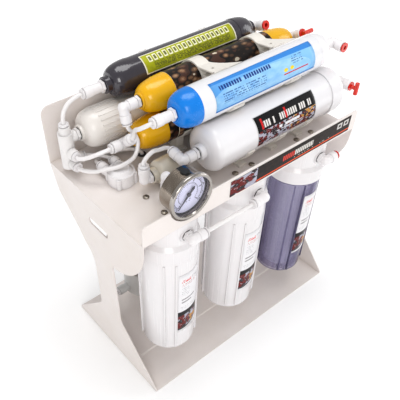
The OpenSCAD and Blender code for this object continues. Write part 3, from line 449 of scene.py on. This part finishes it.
def gauge_case_mat(name):
    """Stained steel for the gauge's case, and black for the blow-out plug in its top."""
    g = Graph(name)
    low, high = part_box("gauge_case")
    bezel_low, bezel_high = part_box("gauge_bezel")
    x, _, z = g.xyz()
    cx = (low.x + high.x) / 2
    cz = (bezel_low.z + bezel_high.z) / 2
    head = g.mul(g.near(x, cx, 0.0069), g.gt(z, cz + 0.0331))
    stem = g.mul(g.near(x, cx, 0.0045), g.gt(z, cz + 0.029))
    plug = g.most(head, stem)
    lines = g.noise(1.0, 3.0, 0.6, vec=g.stretch(60.0, 2600.0, 60.0))
    stains = g.noise(24.0, 4.0, 0.65, distort=0.8)
    steel = g.mix(g.remap(stains, 0.35, 0.7, 0.0, 1.0), (0.36, 0.32, 0.28), (0.24, 0.2, 0.165))
    # Painted shade: darker in creases and hollows.
    steel = g.paint_crease_shade(steel, (0.1, 0.08, 0.06), amount=0.6)
    g.shade(Base_Color=g.mix(plug, steel, (0.012, 0.012, 0.012)), Metallic=g.sub(1.0, plug))
    g.shade(Roughness=g.mix(plug, (0.22, 0.22, 0.22), (0.55, 0.55, 0.55)))
    g.bump(lines, 0.1, 0.0002, 0.0004)
    return g.mat


# ---------------------------------------------------------------- prints
def mosaic(g, u, v, cu, cv):
    """Bright broken pattern of small red, white, blue-grey and black pieces."""
    place = g.vec(g.mul(u, cu), g.mul(v, cv), 0.0)
    pick = g.xyz(g.cells(1.0, vec=place, output="Color"))
    streak = g.noise(1.6, 4.0, 0.7, vec=place, distort=1.4)
    base = g.mix(g.gt(pick[0], 0.45), (0.16, 0.012, 0.012), (0.03, 0.02, 0.025))
    base = g.mix(g.gt(pick[1], 0.7), base, (0.42, 0.42, 0.5))
    base = g.mix(g.mul(g.gt(pick[2], 0.82), g.gt(u, 0.55)), base, (0.55, 0.27, 0.05))
    return g.mix(g.gt(streak, 0.62), base, (0.75, 0.77, 0.83))


def print_mat(name, paint, rough=0.34):
    """Printed film: paint(g, u, v) gives the colour; the film has a faint grain and gloss."""
    g = Graph(name)
    u, v, _ = g.xyz(g.coord.outputs["UV"])
    base = paint(g, u, v)
    grain = g.noise(700.0, 2.0)
    soft = g.noise(20.0, 3.0)
    base = g.mix(g.spread(grain, 0.0, 0.02), base, (0.3, 0.3, 0.3))
    g.shade(Base_Color=base, Roughness=g.spread(soft, rough * 0.8, rough * 1.3))
    g.shade(Coat_Weight=0.08, Coat_Roughness=0.12, Specular_IOR_Level=0.2)
    g.bump(g.add(g.mul(grain, 0.3), soft), 0.12, 0.0002, 0)
    return g.mat


def paint_grey(g, u, v):
    """Olive film: a row of pale squares over fine rows of dark bars, with a cream border."""
    base = g.mix(g.remap(v, 0.0, 1.0, 0.0, 1.0), (0.3, 0.32, 0.008), (0.48, 0.5, 0.014))
    wash = g.noise(3.0, 3.0, 0.6, vec=g.vec(g.mul(u, 6.0), v, 0.0))
    base = g.mix(g.remap(wash, 0.45, 0.65, 0.0, 0.5), base, (0.22, 0.24, 0.01))
    block_u = g.math("FRACT", g.mul(u, 19.0))
    band = g.box_mask(u, v, 0.06, 0.95, 0.5, 0.86)
    outer = g.box_mask(block_u, v, 0.14, 0.86, 0.5, 0.86)
    inner = g.box_mask(block_u, v, 0.3, 0.7, 0.57, 0.79)
    base = g.mix(g.mul(band, outer), base, PALE_INK)
    base = g.mix(g.mul(band, inner), base, (0.16, 0.17, 0.04))
    rows = g.bars(u, v, (0.1, 0.93, 0.14, 0.44), 17.0, 150.0, 3.0, 0.7, 0.6)
    base = g.mix(g.mul(rows, 0.9), base, (0.05, 0.05, 0.02))
    return g.mix(g.border(u, v, 0.012, 0.05), base, (0.88, 0.86, 0.72))


def paint_blue(g, u, v):
    """Sky-blue film: rows of dark bars, two yellow dots over a red line."""
    slope = g.add(g.mul(u, 0.7), g.mul(v, 0.3))
    sky = g.mix(g.remap(slope, 0.0, 1.0, 0.0, 1.0), (0.07, 0.3, 0.72), (0.3, 0.6, 0.9))
    glow = g.disc(u, v, 0.45, 0.3, 0.5, 0.5)
    haze = g.noise(2.0, 3.0, 0.6, vec=g.vec(g.mul(u, 4.0), g.mul(v, 2.0), 0.0))
    base = g.mix(g.mul(glow, g.spread(haze, 0.2, 0.8)), sky, (0.45, 0.72, 0.93))
    base = g.mix(g.gt(v, g.add(0.9, g.mul(u, -0.12))), base, (0.05, 0.26, 0.68))
    base = g.mix(g.lt(v, 0.06), base, (0.03, 0.2, 0.58))
    title = g.bars(u, v, (0.06, 0.56, 0.66, 0.8), 4.0, 42.0, 7.0, 0.85, 0.62, 0.3, 0.09)
    base = g.mix(title, base, (0.02, 0.06, 0.25))
    rows = g.bars(u, v, (0.07, 0.48, 0.24, 0.56), 14.0, 150.0, 11.0, 0.66, 0.5)
    base = g.mix(g.mul(rows, 0.8), base, (0.03, 0.1, 0.35))
    for cu in (0.68, 0.745):
        base = g.mix(g.disc(u, v, cu, 0.4, 0.02, 0.06), base, (0.86, 0.66, 0.03))
    base = g.mix(g.box_mask(u, v, 0.66, 0.92, 0.25, 0.29), base, (0.6, 0.03, 0.03))
    notes = g.bars(u, v, (0.75, 0.87, 0.5, 0.78), 14.0, 160.0, 5.0, 0.6, 0.5)
    return g.mix(g.mul(notes, 0.7), base, (0.03, 0.08, 0.3))


def paint_uf(g, u, v):
    """Film in two halves: blocks on black above, a broken colour pattern below."""
    base = g.mix(g.gt(v, 0.5), mosaic(g, u, v, 26.0, 14.0), (0.008, 0.007, 0.008))
    title = g.bars(u, v, (0.08, 0.92, 0.56, 0.84), 3.0, 27.0, 9.0, 0.85, 0.62, 0.3, 0.1)
    base = g.mix(title, base, (0.75, 0.72, 0.7))
    for u0 in (0.08, 0.47):
        base = g.mix(g.box_mask(u, v, u0, u0 + 0.03, 0.54, 0.88), base, (0.6, 0.02, 0.02))
    lower = g.bars(u, v, (0.3, 0.75, 0.26, 0.42), 6.0, 20.0, 4.0, 0.7, 0.7)
    base = g.mix(lower, base, (0.8, 0.8, 0.82))
    return g.mix(g.border(u, v, 0.01, 0.02), base, (0.6, 0.6, 0.6))


def paint_sticker(g, u, v):
    """Pale paper with small bars above and a curved patch of broken colour at its foot."""
    paper = g.mix(g.noise(3.0, 2.0), (0.83, 0.82, 0.84), (0.88, 0.87, 0.89))
    top = g.bars(u, v, (0.14, 0.9, 0.87, 0.91), 20.0, 24.0, 2.0, 0.75, 0.8)
    top_ink = g.mix(g.lt(u, 0.55), (0.45, 0.43, 0.43), (0.72, 0.06, 0.05))
    base = g.mix(top, paper, top_ink)
    second = g.bars(u, v, (0.14, 0.8, 0.81, 0.845), 24.0, 30.0, 8.0, 0.6, 0.6)
    base = g.mix(second, base, (0.5, 0.2, 0.2))
    rows = g.bars(u, v, (0.14, 0.5, 0.63, 0.78), 34.0, 40.0, 6.0, 0.6, 0.5)
    base = g.mix(g.mul(rows, 0.55), base, (0.4, 0.4, 0.42))
    for v0, u1 in ((0.57, 0.78), (0.52, 0.6)):
        line = g.box_mask(u, v, 0.14, u1, v0, v0 + 0.022)
        base = g.mix(g.mul(line, 0.85), base, (0.25, 0.24, 0.25))
    foot = g.bars(u, v, (0.1, 0.9, 0.41, 0.47), 34.0, 40.0, 12.0, 0.6, 0.5)
    base = g.mix(g.mul(foot, 0.5), base, (0.45, 0.45, 0.46))
    patch_top = 0.37
    curve = g.add(0.03, g.mul(0.1, g.mul(u, u)))
    below_top = g.lt(v, patch_top)
    base = g.mix(g.mul(below_top, g.gt(v, curve)), base, mosaic(g, u, v, 7.0, 16.0))
    band = g.mul(below_top, g.gt(v, g.add(0.29, g.mul(u, 0.02))))
    base = g.mix(band, base, BLACK)
    rim = g.mul(g.lt(v, g.add(curve, 0.03)), g.gt(v, curve))
    base = g.mix(rim, base, (0.012, 0.01, 0.012))
    return g.mix(g.lt(v, curve), base, paper)


def paint_fascia(name):
    """Printed strip along the shelf's front lip, by position along the strip."""
    g = Graph(name)
    low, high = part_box("fascia_label")
    x, _, z = g.xyz()
    u = g.remap(x, low.x, high.x, 0.0, 1.0)
    v = g.remap(z, low.z, high.z, 0.0, 1.0)
    wash = g.noise(6.0, 4.0, 0.6, vec=g.vec(g.mul(u, 5.0), v, 0.0))
    base = g.mix(g.remap(wash, 0.35, 0.7, 0.0, 1.0), (0.008, 0.006, 0.005), (0.03, 0.014, 0.01))
    base = g.mix(g.box_mask(u, v, 0.0, 0.2, 0.0, 1.0), base, mosaic(g, u, v, 22.0, 5.0))
    title = g.bars(u, v, (0.4, 0.66, 0.42, 0.78), 2.0, 60.0, 5.0, 0.85, 0.75, 0.3, 0.12)
    base = g.mix(title, base, g.mix(g.lt(u, 0.5), (0.75, 0.72, 0.68), (0.65, 0.05, 0.03)))
    rows = g.bars(u, v, (0.5, 0.82, 0.2, 0.36), 8.0, 90.0, 5.0, 0.6, 0.5)
    base = g.mix(g.mul(rows, 0.6), base, (0.6, 0.56, 0.5))
    for u0 in (0.875, 0.935):
        base = g.mix(g.box_mask(u, v, u0, u0 + 0.045, 0.5, 0.86), base, (0.62, 0.6, 0.58))
        hole = g.box_mask(u, v, u0 + 0.012, u0 + 0.033, 0.6, 0.76)
        base = g.mix(hole, base, (0.04, 0.03, 0.03))
    line = g.mul(g.near(v, g.add(0.1, g.mul(0.05, u)), 0.045), g.gt(u, 0.2))
    base = g.mix(line, base, (0.75, 0.1, 0.03))
    grain = g.noise(800.0, 2.0)
    g.shade(Base_Color=base, Roughness=g.spread(grain, 0.34, 0.46), Specular_IOR_Level=0.2)
    g.shade(Coat_Weight=0.05, Coat_Roughness=0.12)
    g.bump(grain, 0.12, 0.0002, 0.0002)
    return g.mat


def dial_face(name):
    """Pale dial with two fine rings, open at the bottom, and a dark rim."""
    g = Graph(name)
    x, _, z = g.xyz()
    low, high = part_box("gauge_dial")
    dx = g.sub(x, (low.x + high.x) / 2)
    dz = g.sub(z, (low.z + high.z) / 2)
    r = g.length(dx, dz)
    mottle = g.noise(90.0, 3.0, 0.6)
    base = g.mix(g.spread(mottle, 0.0, 1.0), (0.78, 0.78, 0.88), (0.84, 0.84, 0.93))
    below = g.lt(g.add(g.math("ABSOLUTE", dx), dz), 0.0)
    for radius, width, tone in ((DIAL_RADIUS, 0.0003, 0.02), (0.0172, 0.00025, 0.03)):
        ring = g.mul(g.near(r, radius, width), g.sub(1.0, below))
        base = g.mix(ring, base, (tone, tone, tone * 1.5))
    base = g.mix(g.gt(r, 0.0296), base, (0.05, 0.05, 0.06))
    g.shade(Base_Color=base, Roughness=0.45)
    g.bump(mottle, 0.1, 0.0002, 0)
    return g.mat


# By the record's material slots
# In plastic(), tint is the colour of the painted shade in creases and ao its strength
MATERIALS = {
    "powder_coat": powder("powder_coat_cream", (0.84, 0.79, 0.77)),
    "printed_label": paint_fascia("fascia_film"),
    "screw_steel": brushed("screw_steel_worn", (0.4, 0.36, 0.31), 0.3),
    "housing_white": ribbed_cap("housing_white_gloss", (0.83, 0.81, 0.82)),
    "clear_blue": clear_blue("clear_blue_plastic"),
    "rubber": rubber("rubber_black"),
    "spun_fibre": fibre("spun_fibre_white", (0.85, 0.86, 0.92)),
    "fitting_white": plastic(
        "fitting_white_acetal", (0.84, 0.82, 0.83), rough=0.3, coat=0.3, ao=0.5
    ),
    "vessel_white": plastic(
        "vessel_white_gloss", (0.82, 0.81, 0.83), rough=0.18, coat=0.7, vary=0.025
    ),
    "grey_gloss": plastic(
        "slate_gloss", (0.036, 0.031, 0.043), rough=0.2, coat=0.9, vary=0.15
    ),
    "yellow_gloss": plastic(
        "golden_gloss", (0.8, 0.44, 0.002), rough=0.22, coat=0.3, vary=0.08, tint=(0.3, 0.13, 0.0)
    ),
    "blue_gloss": plastic(
        "vivid_blue_gloss", (0.0, 0.22, 0.72), rough=0.24, coat=0.15, vary=0.08,
        tint=(0.0, 0.04, 0.3)
    ),
    "media": granules("filter_media", (0.5, 0.45, 0.38)),
    "clip_white": plastic(
        "clip_cream_satin", (0.8, 0.765, 0.71), rough=0.4, coat=0.15, vary=0.03
    ),
    "tube_white": plastic(
        "tube_milky", (0.83, 0.81, 0.81), rough=0.32, coat=0.25, vary=0.02, edge=0.0003
    ),
    "red": plastic(
        "red_gloss", (0.72, 0.035, 0.02), rough=0.2, coat=0.7, vary=0.08, tint=(0.25, 0.0, 0.0)
    ),
    "gauge_steel": brushed("gauge_steel_polished", (0.48, 0.45, 0.42), 0.14, axis="y"),
    "glass": glass("gauge_glass"),
    "dial": dial_face("dial_print"),
    "pointer_black": plastic(
        "pointer_black_paint", (0.01, 0.01, 0.014), rough=0.35, coat=0.3, edge=0.0002
    ),
    "brass": brushed("brass_machined", (0.65, 0.45, 0.16), 0.3),
    "motor_steel": brushed("motor_steel_satin", (0.55, 0.54, 0.53), 0.35),
    "pump_black": plastic(
        "pump_black_matte", (0.03, 0.03, 0.034), rough=0.5, coat=0.1, speck=0.3
    ),
}
# Nodes whose finish differs from the rest of their slot
OWN = {
    "yellow_shells": beans("yellow_wrap_beans"),
    "blue_shell": plastic(
        "blue_cartridge_white", (0.8, 0.8, 0.83), rough=0.2, coat=0.6, vary=0.02
    ),
    "membrane_cap": plastic(
        "membrane_cap_cream", (0.78, 0.745, 0.71), rough=0.3, coat=0.35, vary=0.05, ao=0.6
    ),
    "membrane_housing": plastic(
        "membrane_vessel_cream", (0.78, 0.75, 0.715), rough=0.26, coat=0.4, vary=0.04
    ),
    "tube_manifold": plastic(
        "manifold_pale", (0.8, 0.78, 0.775), rough=0.3, coat=0.3, ao=0.5
    ),
    "flow_restrictor": plastic(
        "capsule_smoky", (0.66, 0.61, 0.52), rough=0.22, coat=0.5, vary=0.1, ao=0.6
    ),
    "pump_head": plastic(
        "pump_head_pale", (0.6, 0.6, 0.59), rough=0.4, coat=0.15, speck=0.2
    ),
    "gauge_bracket": brushed("bracket_steel", (0.5, 0.47, 0.43), 0.3),
    "gauge_case": gauge_case_mat("gauge_case_steel_and_plug"),
}
SLOT_OF = {item["node"]: item["material_slot"] for item in frame["record"]["subparts"]}
for name, obj in NODES.items():
    mat = OWN.get(name) or MATERIALS[SLOT_OF[name]]
    if len(obj.data.materials) == 0:
        obj.data.materials.append(mat)
    for i in range(len(obj.data.materials)):
        obj.data.materials[i] = mat


# ---------------------------------------------------------------- films
def new_object(name, verts, faces, mat, body, uvs=None, smooth=True):
    mesh = bpy.data.meshes.new(name)
    mesh.from_pydata(verts, [], faces)
    if uvs is not None:
        layer = mesh.uv_layers.new(name="print")
        for poly in mesh.polygons:
            for li in poly.loop_indices:
                layer.data[li].uv = uvs[mesh.loops[li].vertex_index]
    mesh.materials.append(mat)
    mesh.validate()
    obj = bpy.data.objects.new(name, mesh)
    bpy.context.scene.collection.objects.link(obj)
    for poly in mesh.polygons:
        poly.use_smooth = smooth
    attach(obj, body)


def film(name, point, nu, nv, mat, body):
    """Thin curved film with closed edges: point(s, t, lift) gives a place on it."""
    verts, uvs, faces = [], [], []
    for lift in (FILM_THICKNESS, 0.0):
        for j in range(nv + 1):
            for i in range(nu + 1):
                verts.append(point(i / nu, j / nv, lift))
                uvs.append((i / nu, j / nv))
    layer_size = (nu + 1) * (nv + 1)

    def at(i, j, k):
        return k * layer_size + j * (nu + 1) + i

    for j in range(nv):
        for i in range(nu):
            quad = ((i, j), (i + 1, j), (i + 1, j + 1), (i, j + 1))
            faces.append(tuple(at(a, b, 0) for a, b in quad))
            faces.append(tuple(at(a, b, 1) for a, b in (quad[0], quad[3], quad[2], quad[1])))
    rim = [(i, 0) for i in range(nu)] + [(nu, j) for j in range(nv)]
    rim += [(i, nv) for i in range(nu, 0, -1)] + [(0, j) for j in range(nv, 0, -1)]
    for (a, b), (c, d) in zip(rim, rim[1:] + rim[:1]):
        faces.append((at(a, b, 0), at(a, b, 1), at(c, d, 1), at(c, d, 0)))
    new_object(name, verts, faces, mat, body, uvs)


def wrap_label(name, node, x0, x1, a0, a1, mat):
    """Film round a cartridge that lies along X, between two angles from the back over the top."""
    low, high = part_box(node)
    cy, cz, r = (low.y + high.y) / 2, (low.z + high.z) / 2, (high.z - low.z) / 2

    def point(s, t, lift):
        a = math.radians(a1 + (a0 - a1) * t)
        k = r + 0.0001 + lift
        return (x0 + (x1 - x0) * s, cy + k * math.cos(a), cz + k * math.sin(a))

    film(name, point, 24, 24, mat, "unit_frame")


GREY_PRINT = print_mat("grey_label_print", paint_grey)
BLUE_PRINT = print_mat("blue_label_print", paint_blue)
UF_PRINT = print_mat("uf_label_print", paint_uf)
wrap_label("grey_cartridge_film", "grey_shell", -0.067, 0.115, 98, 166, GREY_PRINT)
wrap_label("blue_cartridge_film", "blue_shell", -0.045, 0.158, 104, 197, BLUE_PRINT)
wrap_label("uf_vessel_film", "uf_housing", 0.015, 0.143, 121, 196, UF_PRINT)


def bowl_sticker(i, a0, a1, top_r, foot_r, foot_z):
    """Film on a bowl's tapered wall, between two angles that fall between its ribs."""
    low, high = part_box(f"bowl_{i}")
    cx = (low.x + high.x) / 2
    z0, z1 = STICKER_Z

    def point(s, t, lift):
        a = math.radians(a0 + (a1 - a0) * s)
        z = z0 + (z1 - z0) * t
        up = (z - foot_z) / (TAPER_TOP_Z - foot_z)
        k = foot_r + (top_r - foot_r) * up + 0.00015 + lift
        return (cx + k * math.cos(a), HOUSING_Y + k * math.sin(a), z)

    film(f"bowl_{i}_sticker", point, 16, 12, STICKER, f"bowl_{i}")


STICKER = print_mat("bowl_sticker_print", paint_sticker, rough=0.3)
bowl_sticker(1, 251, 304, 0.0475, 0.0455, 0.065)
bowl_sticker(2, 249, 302, 0.0475, 0.0455, 0.065)
bowl_sticker(3, 251, 304, 0.045, 0.043, 0.060)


# ---------------------------------------------------------------- dial print
def bar(verts, faces, start, direction, length, width, y):
    """Adds a thin raised bar of ink that starts at a point on the dial."""
    side = Vector((-direction.y, direction.x))
    base = len(verts)
    for dy in (0.0, -INK_DEPTH):
        for s, w in ((0, -1), (1, -1), (1, 1), (0, 1)):
            p = start + direction * (length * s) + side * (width * w / 2)
            verts.append((p.x, y + dy, p.y))
    for f in ((0, 1, 2, 3), (7, 6, 5, 4), (0, 4, 5, 1), (1, 5, 6, 2), (2, 6, 7, 3), (3, 7, 4, 0)):
        faces.append(tuple(base + k for k in f))


def dial_direction(share):
    a = math.radians(DIAL_START - DIAL_SWEEP * share)
    return Vector((math.cos(a), math.sin(a)))


def dial_marks():
    """Outer and inner ticks, the numbers 0 to 10 and four small bars."""
    low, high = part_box("gauge_dial")
    centre = Vector(((low.x + high.x) / 2, (low.z + high.z) / 2))
    ink = MATERIALS["pointer_black"]
    ink_y = low.y - INK_LIFT
    verts, faces = [], []
    for k in range(51):
        d = dial_direction(k / 50)
        start, long, wide = DIAL_RADIUS, 0.0026, 0.0005
        if k % 10 == 0:
            start, long, wide = DIAL_RADIUS - 0.0052, 0.0052, 0.0012
        elif k % 5 == 0:
            long, wide = 0.0038, 0.0009
        bar(verts, faces, centre + d * start, d, long, wide, ink_y)
    for k in range(28):
        d = dial_direction(k / 27)
        bar(verts, faces, centre + d * 0.0155, d, 0.0017, 0.00045, ink_y)
    new_object("dial_ticks", verts, faces, ink, "unit_frame", smooth=False)
    for n, value in enumerate(("0", "2", "4", "6", "8", "10")):
        curve = bpy.data.curves.new(f"dial_number_{value}", "FONT")
        curve.body = value
        curve.size = 0.0066
        curve.align_x = "CENTER"
        curve.align_y = "CENTER"
        curve.extrude = 0.00004
        curve.materials.append(ink)
        obj = bpy.data.objects.new(f"dial_number_{value}", curve)
        place = centre + dial_direction(n / 5) * 0.0272
        obj.location = (place.x, low.y - INK_DEPTH, place.y)
        obj.rotation_euler = (math.pi / 2, 0, 0)
        obj.scale = (0.75, 0.75, 0.75)
        bpy.context.scene.collection.objects.link(obj)
        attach(obj, "unit_frame")
    verts, faces = [], []
    across = Vector((1, 0))
    for dx, dz in ((-0.005, -0.0095), (0.0025, -0.0095), (-0.0035, -0.0125), (0.0015, -0.0125)):
        bar(verts, faces, centre + Vector((dx, dz)), across, 0.002, 0.0012, ink_y)
    new_object("dial_small_marks", verts, faces, ink, "unit_frame", smooth=False)


dial_marks()


# ---------------------------------------------------------------- stage, light and camera
def stage_floor():
    """Pale matt floor that brightens with distance, so that it has no dark horizon."""
    g = Graph("stage_floor")
    tone = g.noise(3.0, 2.0)
    g.shade(Base_Color=g.mix(tone, (0.93, 0.93, 0.935), (0.95, 0.95, 0.955)), Roughness=0.9)
    x, y, _ = g.xyz()
    glow = g.remap(g.length(x, y), 0.5, 4.5, 0.1, 0.95)
    g.shade(Emission_Color=(1.0, 1.0, 1.0, 1.0), Emission_Strength=glow)
    mesh = bpy.data.meshes.new("stage_floor")
    s, z = 12.0, -0.0005
    mesh.from_pydata([(-s, -s, z), (s, -s, z), (s, s, z), (-s, s, z)], [], [(0, 1, 2, 3)])
    mesh.materials.append(g.mat)
    obj = bpy.data.objects.new("stage_floor", mesh)
    bpy.context.scene.collection.objects.link(obj)


def studio_world(ambient, seen):
    """Even light round the object; the camera sees it brighter than it lights."""
    world = bpy.data.worlds.new("studio")
    bpy.context.scene.world = world
    world.use_nodes = True
    sky = world.node_tree.nodes["Background"]
    sky.inputs[0].default_value = (1.0, 0.995, 0.99, 1.0)
    path = world.node_tree.nodes.new("ShaderNodeLightPath")
    level = world.node_tree.nodes.new("ShaderNodeMapRange")
    level.inputs["To Min"].default_value = ambient
    level.inputs["To Max"].default_value = seen
    world.node_tree.links.new(path.outputs["Is Camera Ray"], level.inputs["Value"])
    world.node_tree.links.new(level.outputs[0], sky.inputs[1])


def area(name, place, size, power, colour=(1, 1, 1)):
    """Soft rectangular light aimed at the middle of the unit."""
    middle = Vector((0.0, 0.0, 0.25))
    data = bpy.data.lights.new(name, "AREA")
    data.shape = "RECTANGLE"
    data.size, data.size_y = size
    data.energy = power
    data.color = colour
    obj = bpy.data.objects.new(name, data)
    bpy.context.scene.collection.objects.link(obj)
    obj.location = place
    obj.rotation_euler = (middle - Vector(place)).to_track_quat("-Z", "Y").to_euler()


def photo_camera(place, azimuth, elevation, roll, lens, shift):
    """Camera that looks from the left front down; angles in degrees."""
    az, el, ro = (math.radians(v) for v in (azimuth, elevation, roll))
    forward = Vector((math.sin(az) * math.cos(el), math.cos(az) * math.cos(el), -math.sin(el)))
    level_right = Vector((math.cos(az), -math.sin(az), 0.0))
    level_down = forward.cross(level_right)
    right = level_right * math.cos(ro) + level_down * math.sin(ro)
    down = -level_right * math.sin(ro) + level_down * math.cos(ro)
    data = bpy.data.cameras.new("photo_camera")
    data.sensor_width = 36.0
    data.lens = lens
    data.shift_x, data.shift_y = shift
    data.clip_start = 0.01
    camera = bpy.data.objects.new("photo_camera", data)
    bpy.context.scene.collection.objects.link(camera)
    camera.matrix_world = Matrix((
        (right.x, -down.x, -forward.x, place[0]),
        (right.y, -down.y, -forward.y, place[1]),
        (right.z, -down.z, -forward.z, place[2]),
        (0, 0, 0, 1),
    ))
    bpy.context.scene.camera = camera


stage_floor()
studio_world(0.5, 1.0)
area("key_front_left", (-1.5, -1.9, 1.6), (1.2, 1.2), 18, (1.0, 0.985, 0.97))
area("top_soft", (0.2, 0.2, 2.2), (1.4, 1.0), 13.5)
area("right_fill", (1.9, -0.6, 0.9), (0.7, 1.4), 6, (0.97, 0.98, 1.0))
photo_camera((-0.4981, -0.5030, 0.8616), 38.567, 45.795, 0.499, 48.294, (0.0834, 0.1072))
bpy.context.scene.view_settings.view_transform = "Standard"
bpy.context.scene.view_settings.look = "Medium High Contrast"
